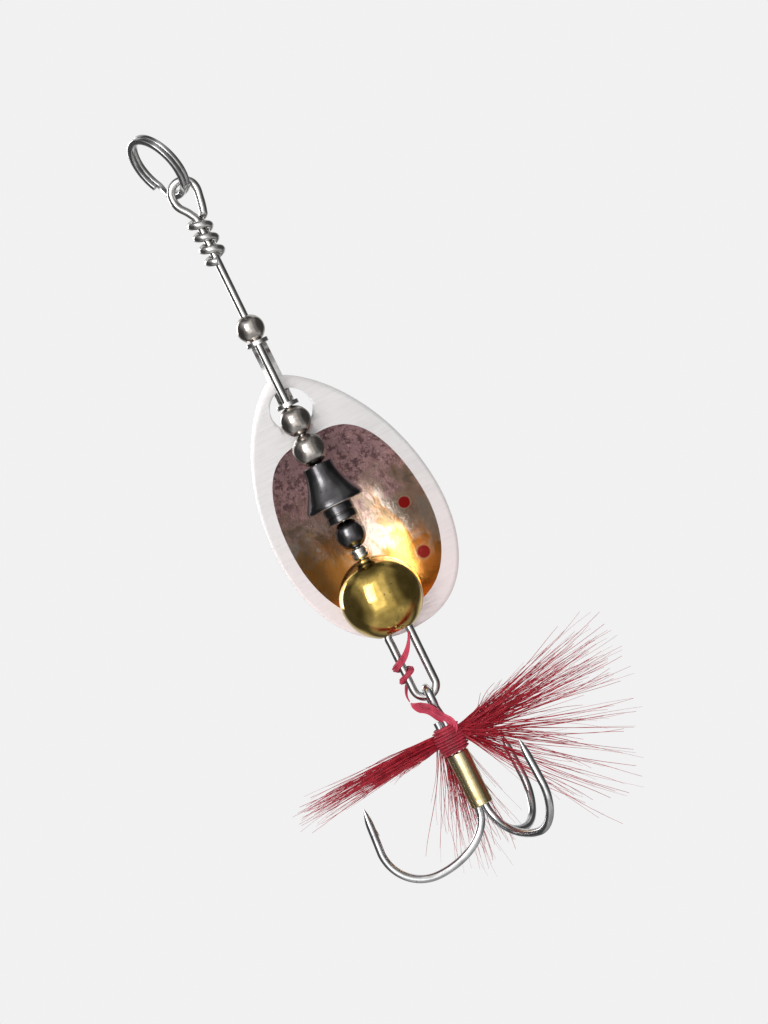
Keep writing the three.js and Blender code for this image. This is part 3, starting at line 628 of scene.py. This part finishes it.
def make_bell():
    """Turned bell: flared cone, a thin rim with broken edges, a turned groove and a neck."""
    foot = node_box("bell_body")[0][2]
    neck_r, neck_h, rim_r, rim_h, cone_h, top_r = 1.1, 1.15, 2.05, 0.3, 2.7, 1.05
    rise = neck_h + rim_h
    profile = [
        (BORE_R, 0.03), (BORE_R + 0.03, 0), (neck_r - 0.06, 0), (neck_r, 0.06),
        (neck_r, 0.42), (neck_r - 0.05, 0.47), (neck_r - 0.05, 0.55), (neck_r, 0.6),
        (neck_r, neck_h - 0.04), (neck_r + 0.04, neck_h), (rim_r - 0.06, neck_h),
        (rim_r - 0.015, neck_h + 0.02), (rim_r, neck_h + 0.07), (rim_r, rise - 0.06),
        (rim_r - 0.02, rise - 0.015),
    ]
    steps = 22
    for i in range(1, steps + 1):
        s = i / steps
        radius = rim_r + (top_r - rim_r) * math.sin(s * math.pi / 2)
        profile.append((radius, rise + s * cone_h))
    top = rise + cone_h
    profile[-1] = (top_r, top - 0.05)
    profile += [(top_r - 0.05, top), (BORE_R + 0.03, top), (BORE_R, top - 0.03)]
    obj = lathe("bell", profile, 72, foot, angle=28)
    finish_piece(obj, BLACK, "bell", ["bell_body"])
    # The rim's lower edge takes a lighter metal: a painted highlight.
    obj.data.materials.append(BELL_RIM_HIGHLIGHT)
    for poly in obj.data.polygons:
        z = poly.center.z / MM - foot
        out = math.hypot(poly.center.x / MM - AXIS_X, poly.center.y / MM)
        if out > rim_r - 0.1 and neck_h - 0.01 < z < neck_h + 0.08:
            poly.material_index = 1
    return obj


make_bell()


def make_collar():
    """Tiny turned collar with a waist round its middle."""
    foot = node_box("collar")[0][2]
    r, h = 0.625, 0.8
    profile = [
        (BORE_R, 0.02), (BORE_R + 0.02, 0), (r - 0.15, 0), (r - 0.05, 0.06), (r, 0.17),
        (r, 0.3), (r - 0.06, 0.36), (r - 0.06, 0.44), (r, 0.5), (r, h - 0.17),
        (r - 0.05, h - 0.06), (r - 0.15, h), (BORE_R + 0.02, h), (BORE_R, h - 0.02),
    ]
    obj = lathe("ball_collar", profile, 48, foot, angle=40)
    return finish_piece(obj, COLLAR, "collar", ["collar"])


make_collar()


def make_ball():
    """Polished ball with a small bore above and a wide bore below, both with broken edges."""
    wide = BALL_BORE_R
    centre = float(BALL_LO[2]) + math.sqrt(BALL_R ** 2 - wide ** 2)
    shoulder = BALL_LO[2] + BALL_BORE_DEPTH - centre
    lower = math.asin((wide + 0.07) / BALL_R)
    upper = math.pi - math.asin((BORE_R + 0.05) / BALL_R)
    profile = [(wide, shoulder), (wide, -math.sqrt(BALL_R ** 2 - wide ** 2) + 0.08)]
    steps = 54
    for i in range(steps + 1):
        a = lower + (upper - lower) * i / steps
        profile.append((BALL_R * math.sin(a), -BALL_R * math.cos(a)))
    top = math.sqrt(BALL_R ** 2 - BORE_R ** 2)
    profile += [(BORE_R, top - 0.06), (BORE_R, shoulder)]
    obj = lathe("ball", profile, 96, centre)
    return finish_piece(obj, BRASS, "ball", ["brass_ball"])


make_ball()


# ---------------------------------------------------------------- clevis

CLEVIS_TOP = node_box("clevis")[1][2]
CLEVIS_H, CLEVIS_T, EAR_W, WAIST_W, REACH = 4.9, 0.28, 1.56, 1.1, 2.6


def clevis_line(count):
    """Middle of the strip seen from the side, from the lower ear round the bow to the upper one."""
    span = CLEVIS_H - CLEVIS_T
    low = CLEVIS_TOP - CLEVIS_H + CLEVIS_T / 2
    end = -EAR_W / 2 - CLEVIS_T
    shares = [
        (end / REACH, 0), (0.17, 0), (0.5, 0.045), (0.74, 0.12), (0.93, 0.24), (1, 0.42),
        (0.95, 0.66), (0.76, 0.84), (0.46, 0.965), (0.17, 1), (end / REACH, 1),
    ]
    return spline([axis_point(0, a * REACH, low + b * span) for a, b in shares], count)


def make_clevis():
    """Folded strip: round ears with a bore each, a narrower strip between them."""
    line = clevis_line(240)
    line = line[(line[:, 1] > -EAR_W / 2 + 0.0005)]
    ear, waist = EAR_W / 2, WAIST_W / 2
    t = np.gradient(line, axis=0)
    t /= np.linalg.norm(t, axis=1)[:, None]
    rings = []
    for p, d in zip(line, t):
        y = p[1]
        half = math.sqrt(max(ear ** 2 - y ** 2, 0)) if y < math.sqrt(ear ** 2 - waist ** 2) else waist
        half = max(half, 0.03)
        normal = np.array([0, -d[2], d[1]])
        rings.append((p, normal, half))
    verts, faces = [], []
    for p, normal, half in rings:
        for x, s in ((-half, -1), (half, -1), (half, 1), (-half, 1)):
            verts.append(p + np.array([x, 0, 0]) + normal * s * CLEVIS_T / 2)
    for i in range(len(rings) - 1):
        for k in range(4):
            m = (k + 1) % 4
            faces.append((4 * i + k, 4 * i + m, 4 * i + 4 + m, 4 * i + 4 + k))
    faces.append((0, 1, 2, 3))
    last = 4 * (len(rings) - 1)
    faces.append((last, last + 1, last + 2, last + 3))
    obj = new_object("clevis_strip", verts, faces, 40)
    cutter = lathe(
        "clevis_cutter",
        [(BORE_R, -4), (BORE_R, 4)],
        40,
        CLEVIS_TOP - CLEVIS_H / 2,
        closed=False,
    )
    bm = bmesh.new()
    bm.from_mesh(cutter.data)
    bmesh.ops.holes_fill(bm, edges=bm.edges)
    bmesh.ops.recalc_face_normals(bm, faces=bm.faces)
    bm.to_mesh(cutter.data)
    bm.free()
    cut = obj.modifiers.new("bores", "BOOLEAN")
    cut.operation, cut.object, cut.solver = "DIFFERENCE", cutter, "EXACT"
    edge = obj.modifiers.new("edges", "BEVEL")
    edge.width, edge.segments, edge.limit_method = 0.035 * MM, 2, "ANGLE"
    edge.angle_limit = math.radians(40)
    bake_modifiers(obj, 40)
    bpy.data.objects.remove(cutter)
    return finish_piece(obj, CLEVIS, "clevis", ["clevis"])


make_clevis()


# ---------------------------------------------------------------- blade

BLADE_L, BLADE_W, BLADE_T = 19.6, 12.0, 0.5
BOWL_TOP, BOWL_BOTTOM, BOWL_SIDE, BOWL_DEPTH = 4.8, 1.35, 1.05, 1.75
BOWL_SHOULDER, BOWL_TAIL = 0.31, 0.42
BOWL_L = BLADE_L - BOWL_TOP - BOWL_BOTTOM
BOWL_RISE, BOWL_DROP, BOWL_HALF = 0.52 * BOWL_L, 0.48 * BOWL_L, BLADE_W / 2 - BOWL_SIDE
BOWL_MID = -BOWL_TOP - BOWL_RISE
HOLE_D, HOLE_EDGE, HOLE_DROP = 2.9, 1.1, 0.5904
REST_TILT, LEAN = 3.0191, 4.5
PIVOT = np.array([AXIS_X, 1.95445, -19.61131])


def egg(angle, widest, rise, drop, half, above, below):
    """Point on an egg that is fuller or slimmer above and below its widest height."""
    up, side = math.sin(angle), math.cos(angle)
    reach, full = (rise, above) if up >= 0 else (drop, below)
    return np.array([half * math.copysign(abs(side) ** (2 * full), side), widest + reach * up])


def blade_outline(a):
    return egg(a, -0.6 * BLADE_L, 0.6 * BLADE_L, 0.4 * BLADE_L, BLADE_W / 2, 0.7, 0.41)


def bowl_outline(a):
    return egg(a, BOWL_MID, BOWL_RISE, BOWL_DROP, BOWL_HALF, BOWL_SHOULDER, BOWL_TAIL)


def make_blade():
    """Dished blade with a bored head, in its own frame first and then turned to its rest on the ball."""
    sides, bowl_steps, rim_steps = 220, 26, 5
    half = BLADE_T / 2
    centre = np.array([0, BOWL_MID])
    # Even angles crowd at the ends of an egg, so spread them by the length of both outlines.
    fine = np.linspace(0, 2 * math.pi, 8001)
    length = np.zeros(len(fine))
    for outline in (blade_outline, bowl_outline):
        edge = np.array([outline(a) for a in fine])
        length[1:] += np.cumsum(np.linalg.norm(np.diff(edge, axis=0), axis=1))
    angles = np.interp(np.linspace(0, length[-1], sides, endpoint=False), length, fine)
    inner = np.array([bowl_outline(a) for a in angles])
    outer = np.array([blade_outline(a) for a in angles])
    rows = []
    for i in range(1, bowl_steps + 1):
        s = i / bowl_steps
        rows.append((centre + (inner - centre) * s, BOWL_DEPTH * (1 - s ** 2.6)))
    for i in range(1, rim_steps + 1):
        s = i / rim_steps
        rows.append((inner + (outer - inner) * s, 0.0))
    verts, faces = [], []
    for sign in (-1, 1):
        verts.append((centre[0], BOWL_DEPTH + sign * half, centre[1]))
        for ring, y in rows:
            verts += [(x, y + sign * half, z) for x, z in ring]
    block = 1 + sides * len(rows)
    for layer in range(2):
        base = layer * block
        for k in range(sides):
            m = (k + 1) % sides
            faces.append((base, base + 1 + k, base + 1 + m))
            for r in range(len(rows) - 1):
                q = base + 1 + r * sides
                faces.append((q + k, q + sides + k, q + sides + m, q + m))
    last = 1 + (len(rows) - 1) * sides
    for k in range(sides):
        m = (k + 1) % sides
        faces.append((last + k, block + last + k, block + last + m, last + m))
    obj = new_object("spinner_blade", verts, faces, 30)

    bm = bmesh.new()
    place = Matrix.Translation((0, 0, (-HOLE_EDGE - HOLE_D / 2) * MM)) @ Matrix.Rotation(math.pi / 2, 4, "X")
    bmesh.ops.create_cone(
        bm, cap_ends=True, segments=64, radius1=HOLE_D / 2 * MM, radius2=HOLE_D / 2 * MM,
        depth=4 * MM, matrix=place,
    )
    mesh = bpy.data.meshes.new("hole_cutter")
    bm.to_mesh(mesh)
    bm.free()
    cutter = bpy.data.objects.new("hole_cutter", mesh)
    bpy.context.scene.collection.objects.link(cutter)
    cut = obj.modifiers.new("hole", "BOOLEAN")
    cut.operation, cut.object, cut.solver = "DIFFERENCE", cutter, "EXACT"
    edge = obj.modifiers.new("edges", "BEVEL")
    edge.width, edge.segments, edge.limit_method = 0.1 * MM, 3, "ANGLE"
    edge.angle_limit = math.radians(60)
    bake_modifiers(obj, 22)
    bpy.data.objects.remove(cutter)

    # Rim, bowl and back each take their own finish.
    mesh = obj.data
    for material in (RIM, BOWL, BACK):
        mesh.materials.append(material)
    for poly in mesh.polygons:
        c = poly.center
        dz = c.z / MM - BOWL_MID
        reach, full = (BOWL_RISE, BOWL_SHOULDER) if dz >= 0 else (BOWL_DROP, BOWL_TAIL)
        up = min(abs(dz) / reach, 1)
        wide = BOWL_HALF * (1 - up * up) ** full
        in_bowl = abs(c.x / MM) < wide and c.y > (-half + 0.004) * MM
        if poly.normal.y > 0.25:
            poly.material_index = 2
        elif in_bowl and poly.normal.y < 0:
            poly.material_index = 1
        else:
            poly.material_index = 0

    turn = (
        Matrix.Translation(Vector(PIVOT) * MM)
        @ Matrix.Rotation(math.radians(REST_TILT), 4, "X")
        @ Matrix.Rotation(-math.radians(LEAN), 4, "Y")
        @ Matrix.Translation((0, 0, (HOLE_EDGE + HOLE_DROP) * MM))
    )
    mesh.transform(turn)
    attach(obj, "blade")
    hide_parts("blade")
    return obj


make_blade()


# ---------------------------------------------------------------- treble hook

HOOK_R = 0.28
PIVOT_Z = -41.93927
EYE_R, EYE_GAP, EYE_NECK, SHANK_L, SHANK_GAP = 0.85, 0.03, 0.75, 6.3, 0.012
EYE_Z = PIVOT_Z + WIRE_R + EYE_GAP + HOOK_R - EYE_R
SHANK_TOP = EYE_Z - EYE_R - EYE_NECK
BEND_START = SHANK_TOP - SHANK_L
SHANK_OFF = (2 * HOOK_R + SHANK_GAP) / math.sqrt(3)
NEAR, FAR, DEPTH, SPEAR, INSET, POINT = 4.35, 2.9, 2.95, 3.3, 0.25, 1.4
LEFT, FRONT, BEHIND = (math.radians(a) for a in (184, -56, 64))
SPEAR_STEPS, BARB_STEP = 32, 13
BARB_L, BARB_R, BARB_ANGLE = 1.1, 0.17, math.radians(17)


def hook_path(azimuth):
    """Shank, bend and spear of one hook, and the wire's radius at each point."""
    out = np.array([math.cos(azimuth), math.sin(azimuth), 0])

    def at(reach, z):
        return axis_point(0, 0, z) + out * (SHANK_OFF + reach)

    points = [at(0, z) for z in np.linspace(SHANK_TOP, BEND_START, 24)]
    for a in np.linspace(0, 90, 31)[1:]:
        r = math.radians(a)
        points.append(at(NEAR * (1 - math.cos(r)), BEND_START - DEPTH * math.sin(r)))
    for a in np.linspace(0, 90, 25)[1:]:
        r = math.radians(a)
        points.append(at(NEAR + FAR * math.sin(r), BEND_START - DEPTH * math.cos(r)))
    reach = NEAR + FAR
    for s in np.linspace(0, 1, SPEAR_STEPS + 1)[1:]:
        points.append(at(reach - INSET * s, BEND_START + SPEAR * s))
    radii = []
    tip = points[-1]
    for p in points:
        away = np.linalg.norm(p - tip)
        share = min(away / POINT, 1)
        on_spear = np.dot(p - axis_point(0, 0, 0), out) > 0.6 * reach and p[2] > BEND_START
        taper = 0.07 + 0.93 * math.sin(share * math.pi / 2) ** 0.85
        radii.append(HOOK_R * taper if on_spear else HOOK_R)
    return points, radii, out


def barb(points, out):
    """Sliver cut from the spear's inner side, standing off towards the bend."""
    tip = points[-1]
    base = points[-1 - BARB_STEP]
    inward = -out
    down = (base - tip) / np.linalg.norm(base - tip)
    direction = down * math.cos(BARB_ANGLE) + inward * math.sin(BARB_ANGLE)
    start = base - down * 0.25 + inward * 0.02
    shares = np.linspace(0, 1, 9)
    path = [start + direction * BARB_L * s for s in shares]
    radii = [BARB_R * (1 - s) ** 0.8 + 0.006 for s in shares]
    return path, radii


def make_hooks():
    """Two hooks and their eye from one wire, and a third hook laid against them."""
    front, front_r, front_out = hook_path(FRONT)
    back, back_r, back_out = hook_path(BEHIND)
    side = front[0] - back[0]
    half = np.linalg.norm(side) / 2
    side /= np.linalg.norm(side)
    middle = (front[0] + back[0]) / 2
    axis = axis_point(0, 0, 0)

    def at(across, z, centring):
        p = middle + (axis - middle) * centring + side * across
        return np.array([p[0], p[1], z])

    guides = [at(half, SHANK_TOP, 0), at(1.15 * half, SHANK_TOP + 0.26, 0.3)]
    for a in range(-50, 231, 35):
        r = math.radians(a)
        guides.append(at(EYE_R * math.cos(r), EYE_Z + EYE_R * math.sin(r), 1))
    guides += [at(-1.15 * half, SHANK_TOP + 0.26, 0.3), at(-half, SHANK_TOP, 0)]
    eye = list(spline(guides, 90))[1:-1]
    points = front[::-1] + eye + back
    radii = front_r[::-1] + [HOOK_R] * len(eye) + back_r
    parts = [(points, radii), barb(front, front_out), barb(back, back_out)]
    double = bundle("hook_pair", parts, 16)
    finish_piece(double, HOOK, "treble", ["double_hook"])
    left, left_r, left_out = hook_path(LEFT)
    single = bundle("hook_third", [(left, left_r), barb(left, left_out)], 16)
    finish_piece(single, HOOK, "treble", ["single_hook"])


make_hooks()


def make_sleeve():
    """Short drawn tube with softly rolled ends and a closing dent."""
    foot = node_box("shank_sleeve")[0][2]
    inner, wall, length = SHANK_OFF + HOOK_R + 0.02, 0.14, 3.9
    outer = inner + wall
    profile = [(inner, 0.05), (inner + 0.04, 0.0), (outer - 0.05, 0.0), (outer, 0.06)]
    for s in np.linspace(0.06, 0.94, 40):
        swell = 0.012 * math.sin(s * math.pi * 3) - 0.02 * math.exp(-((s - 0.12) / 0.03) ** 2)
        profile.append((outer + swell, s * length))
    profile += [(outer, length - 0.06), (outer - 0.05, length)]
    profile += [(inner + 0.04, length), (inner, length - 0.05)]
    obj = lathe("hook_sleeve", profile, 60, foot)
    return finish_piece(obj, SLEEVE, "treble", ["shank_sleeve"])


make_sleeve()


# ---------------------------------------------------------------- thread and fibres

WIND_LO, WIND_HI = node_box("tying_thread")


def make_winding():
    """Two crossing layers of fine thread over the shanks, with a few stray turns above."""
    base_r = SHANK_OFF + HOOK_R + 0.05
    low, high = WIND_LO[2], WIND_HI[2]
    strands = []
    for layer, (turns, lift, phase) in enumerate(((22, 0.0, 0), (15, 0.1, 1.2), (9, 0.2, 2.5))):
        steps = turns * 18
        path = []
        for i in range(steps + 1):
            s = i / steps
            climb = s if layer % 2 == 0 else 1 - s
            belly = 0.22 * math.sin(math.pi * min(max(climb, 0), 1)) ** 0.8
            wander = 0.015 * math.sin(17 * s * math.pi + phase)
            r = base_r + lift + belly + wander
            a = 2 * math.pi * turns * s + phase
            z = low + 0.06 + (high - low - 0.12) * climb + 0.02 * math.sin(5 * a / turns + phase)
            path.append(axis_point(r * math.cos(a), r * math.sin(a), z))
        strands.append((path, [0.062] * len(path)))
    obj = bundle("tying_winding", strands, 8)
    return finish_piece(obj, THREAD, "treble", ["tying_thread"])


make_winding()


def floss(guides, count, spread, radius, steps, flat):
    """A flattish hank of fine filaments that wander along one path and gather at its ends."""
    middle = spline(guides, steps)
    t, n = frames(middle)
    b = np.cross(t, n)
    strands = []
    thinning = [1 - 0.35 * abs(2 * i / (steps - 1) - 1) ** 6 for i in range(steps)]
    for k in range(count):
        phase = 2 * math.pi * k / count + RNG.uniform(-0.3, 0.3)
        reach = spread * (0.25 + 0.75 * ((k * 7) % count) / count)
        path = []
        for i in range(steps):
            s = i / (steps - 1)
            a = phase + 1.6 * s
            gathered = min(1, 0.12 + 3.5 * s, 0.12 + 3.5 * (1 - s))
            loose = reach * gathered * (1 + 0.3 * math.sin(11 * s + phase))
            path.append(middle[i] + loose * (flat * math.cos(a) * n[i] + math.sin(a) * b[i]))
        strands.append((path, [radius * share for share in thinning]))
    return strands


def make_loop_thread():
    """Loose floss that weaves round the two wires of the lower loop."""
    top = float(BALL_LO[2])
    weave = [
        (0.62, -0.44, -0.3), (0.4, -0.46, -0.8), (0.02, -0.48, -1.35), (-0.42, -0.5, -1.8),
        (-0.92, -0.5, -2.1), (-1.28, 0.0, -2.3), (-0.85, 0.48, -2.45), (-0.36, 0.08, -2.6),
        (-0.45, -0.46, -2.8), (-0.88, -0.5, -3.0), (-1.28, 0.0, -3.18), (-0.85, 0.48, -3.32),
        (-1.16, 0.44, -3.72), (-1.37, 0.2, -4.18), (-1.38, 0.0, -4.62),
    ]
    guides = [axis_point(x, y, top + z) for x, y, z in weave]
    obj = bundle("loop_floss", floss(guides, 26, 0.24, 0.038, 150, 0.55), 5)
    return finish_piece(obj, FLOSS, "wire", ["loop_thread"])


def make_floss_tail():
    """The thick end of the floss, laid from the hook's eye down across the neck into the tie."""
    tie = float(WIND_HI[2])
    lie = [
        (-1.36, 0.0, 2.34), (-1.27, -0.36, 2.18), (-0.95, -0.66, 1.85), (-0.45, -0.72, 1.38),
        (0.05, -0.72, 0.8), (0.5, -0.7, 0.25), (0.66, -0.74, -0.25), (0.5, -0.82, -0.7),
    ]
    guides = [axis_point(x, y, tie + z) for x, y, z in lie]
    obj = bundle("floss_tail", floss(guides, 44, 0.46, 0.044, 60, 0.32), 5)
    return finish_piece(obj, FLOSS, "treble", [])


make_loop_thread()
make_floss_tail()


def strand(start, heading, length, droop, wave, thickness):
    """One fibre: leaves along heading, sags by droop, wavers, and thins to its tip."""
    count = 12
    d = np.array(heading, float)
    d /= np.linalg.norm(d)
    side = np.cross(d, [0, 0, 1])
    side /= max(np.linalg.norm(side), 1e-6)
    lift = np.cross(side, d)
    phase = RNG.uniform(0, 6.28)
    path, radii = [], []
    for i in range(count):
        s = i / (count - 1)
        p = np.array(start) + d * length * s
        p += np.array([0, 0, -1]) * droop * s * s
        p += side * wave * math.sin(phase + 4.2 * s) * s
        p += lift * 0.6 * wave * math.sin(1.7 * phase + 5.1 * s) * s
        path.append(p)
        radii.append(thickness * (1 - 0.72 * s) * (0.75 + 0.25 * math.sin(3 * s + phase)))
    return path, radii


TIE = (WIND_LO[2] + 0.7, WIND_HI[2] - 0.35)
TIE_R = 0.8
FIBRE_R = 0.05


def fan(name, node, amount, azimuths, rises, lengths, droop, wave):
    """One tuft: fibres that leave the tie within a range of directions, more of them short than long."""
    strands = []
    for _ in range(amount):
        az = math.radians(RNG.gauss(*azimuths))
        rise = math.radians(RNG.uniform(*rises))
        heading = (math.cos(az) * math.cos(rise), math.sin(az) * math.cos(rise), math.sin(rise))
        start = axis_point(TIE_R * math.cos(az), TIE_R * math.sin(az), RNG.uniform(*TIE))
        length = lengths[0] + (lengths[1] - lengths[0]) * RNG.random() ** 1.3
        sag = RNG.uniform(*droop)
        waver = RNG.uniform(0.1, wave)
        thickness = RNG.uniform(0.6, 1.0) * FIBRE_R
        strands.append(strand(start, heading, length, sag, waver, thickness))
    obj = bundle(name, strands, 4)
    return finish_piece(obj, FIBRE, "treble", [node])


fan("fibres_left", "tuft_left", 240, (180, 9), (-4, 2.5), (2.5, 11.2), (0.1, 0.7), 0.4)
fan("fibres_right", "tuft_right", 230, (0, 10), (-6, 18), (2.5, 12.4), (-0.6, 0.5), 0.6)
fan("fibres_low_right", "tuft_low_right", 110, (0, 17), (-56, -9), (3.5, 12.6), (0.0, 0.8), 0.6)
fan("fibres_behind", "tuft_behind", 150, (112, 22), (-80, -56), (4, 10.4), (-0.6, 0.4), 0.5)


# ---------------------------------------------------------------- floor, light, camera

FLOOR_R, FLOOR_Z = 2500, -600


def make_floor():
    """Plain pale floor far below the lure, bright enough to match the backdrop."""
    verts = []
    count = 96
    for i in range(count):
        a = 2 * math.pi * i / count
        verts.append((FLOOR_R * math.cos(a), FLOOR_R * math.sin(a), FLOOR_Z))
    floor = new_object("floor", verts, [tuple(range(count))], 30)
    floor.visible_glossy = False
    n = Nodes("floor_paper")
    grain = n.noise(n.coords(), 90, 4, 0.6)
    paper = n.mix(n.span(grain, 0.3, 0.7), (0.22, 0.22, 0.22), (0.20, 0.20, 0.20))
    n.set(Base_Color=paper, Roughness=0.9, Emission_Color=(0.88, 0.88, 0.88), Emission_Strength=0.875)
    floor.data.materials.append(n.mat)


make_floor()


def area_light(name, location, target, size, energy):
    data = bpy.data.lights.new(name, "AREA")
    data.shape = "RECTANGLE"
    data.size, data.size_y = size
    data.energy = energy
    light = bpy.data.objects.new(name, data)
    bpy.context.scene.collection.objects.link(light)
    light.location = location
    aim = Vector(target) - Vector(location)
    light.rotation_mode = "QUATERNION"
    light.rotation_quaternion = aim.to_track_quat("-Z", "Y")
    return light


MID = (AXIS_X * MM, 0, -0.027)
area_light("key", (-0.20, -0.44, 0.16), MID, (0.22, 0.44), 1.35)
area_light("fill", (0.40, -0.30, 0.02), MID, (0.2, 0.3), 0.6).visible_glossy = False
area_light("back_left", (-0.28, 0.38, 0.15), MID, (0.2, 0.3), 0.9)
bpy.context.scene.view_settings.view_transform = "Standard"


def make_world():
    """Pale to the camera; for light and reflections, soft panels in a darker room."""
    world = bpy.data.worlds.new("studio")
    world.use_nodes = True
    bpy.context.scene.world = world
    tree = world.node_tree
    tree.nodes.clear()

    def add(kind, **values):
        node = tree.nodes.new(kind)
        for key, value in values.items():
            setattr(node, key, value)
        return node

    def band(value, lo, hi, soft):
        """1 between lo and hi, with soft edges."""
        out = None
        for start, end in ((lo - soft, lo + soft), (hi + soft, hi - soft)):
            node = add("ShaderNodeMapRange", interpolation_type="SMOOTHSTEP")
            node.inputs["From Min"].default_value = start
            node.inputs["From Max"].default_value = end
            tree.links.new(value, node.inputs["Value"])
            if out is None:
                out = node.outputs["Result"]
            else:
                both = add("ShaderNodeMath", operation="MULTIPLY")
                tree.links.new(out, both.inputs[0])
                tree.links.new(node.outputs["Result"], both.inputs[1])
                out = both.outputs[0]
        return out

    def panel(xs, ys, zs, strength, soft):
        """Light from the directions within three ranges, from -1 to 1 along each axis."""
        out = None
        for value, span in zip(axes, (xs, ys, zs)):
            part = band(value, *span, soft)
            if out is None:
                out = part
            else:
                both = add("ShaderNodeMath", operation="MULTIPLY")
                tree.links.new(out, both.inputs[0])
                tree.links.new(part, both.inputs[1])
                out = both.outputs[0]
        scaled = add("ShaderNodeMath", operation="MULTIPLY")
        tree.links.new(out, scaled.inputs[0])
        scaled.inputs[1].default_value = strength
        return scaled.outputs[0]

    tex = add("ShaderNodeTexCoord")
    split = add("ShaderNodeSeparateXYZ")
    tree.links.new(tex.outputs["Generated"], split.inputs[0])
    axes = (split.outputs["X"], split.outputs["Y"], split.outputs["Z"])
    # A wide front panel with a brighter window in it, a dim surround, a back panel and a glow from below
    panels = [
        panel((-0.6, 0.46), (-2, -0.05), (-0.66, 0.86), 0.6, 0.12),
        panel((-0.5, 0.1), (-2, -0.05), (-0.45, 0.74), 0.8, 0.05),
        panel((-0.85, 0.8), (-2, 0.05), (-0.85, 0.95), 0.2, 0.1),
        panel((-0.6, 0.6), (0.1, 2), (-0.5, 0.8), 0.6, 0.12),
        panel((-2, 2), (-2, 2), (-2, -0.72), 0.3, 0.1),
    ]
    total = None
    for value in panels:
        if total is None:
            total = value
            continue
        node = add("ShaderNodeMath", operation="ADD")
        tree.links.new(total, node.inputs[0])
        tree.links.new(value, node.inputs[1])
        total = node.outputs[0]
    base = add("ShaderNodeMath", operation="ADD")
    tree.links.new(total, base.inputs[0])
    base.inputs[1].default_value = 0.07

    room = add("ShaderNodeBackground")
    room.inputs["Color"].default_value = (1, 1, 1, 1)
    tree.links.new(base.outputs[0], room.inputs["Strength"])
    plain = add("ShaderNodeBackground")
    plain.inputs["Color"].default_value = (0.88, 0.88, 0.88, 1)
    path = add("ShaderNodeLightPath")
    mix = add("ShaderNodeMixShader")
    tree.links.new(path.outputs["Is Camera Ray"], mix.inputs[0])
    tree.links.new(room.outputs[0], mix.inputs[1])
    tree.links.new(plain.outputs[0], mix.inputs[2])
    out = add("ShaderNodeOutputWorld")
    tree.links.new(mix.outputs[0], out.inputs["Surface"])


make_world()


CAMERA_PLACE = (0.0042, -0.268, -0.0295)
CAMERA_ROLL = -math.radians(26)


def make_camera():
    """Level with the lure and square to its blade, rolled so that the lure lies as it was seen."""
    data = bpy.data.cameras.new("camera")
    data.lens = 140
    data.sensor_width = 36
    data.clip_start, data.clip_end = 0.01, 20
    camera = bpy.data.objects.new("camera", data)
    bpy.context.scene.collection.objects.link(camera)
    roll = Matrix.Rotation(CAMERA_ROLL, 4, "Z")
    square = Matrix.Rotation(math.pi / 2, 4, "X")
    place = Matrix.Translation(CAMERA_PLACE)
    camera.matrix_world = place @ square @ roll
    bpy.context.scene.camera = camera


make_camera()
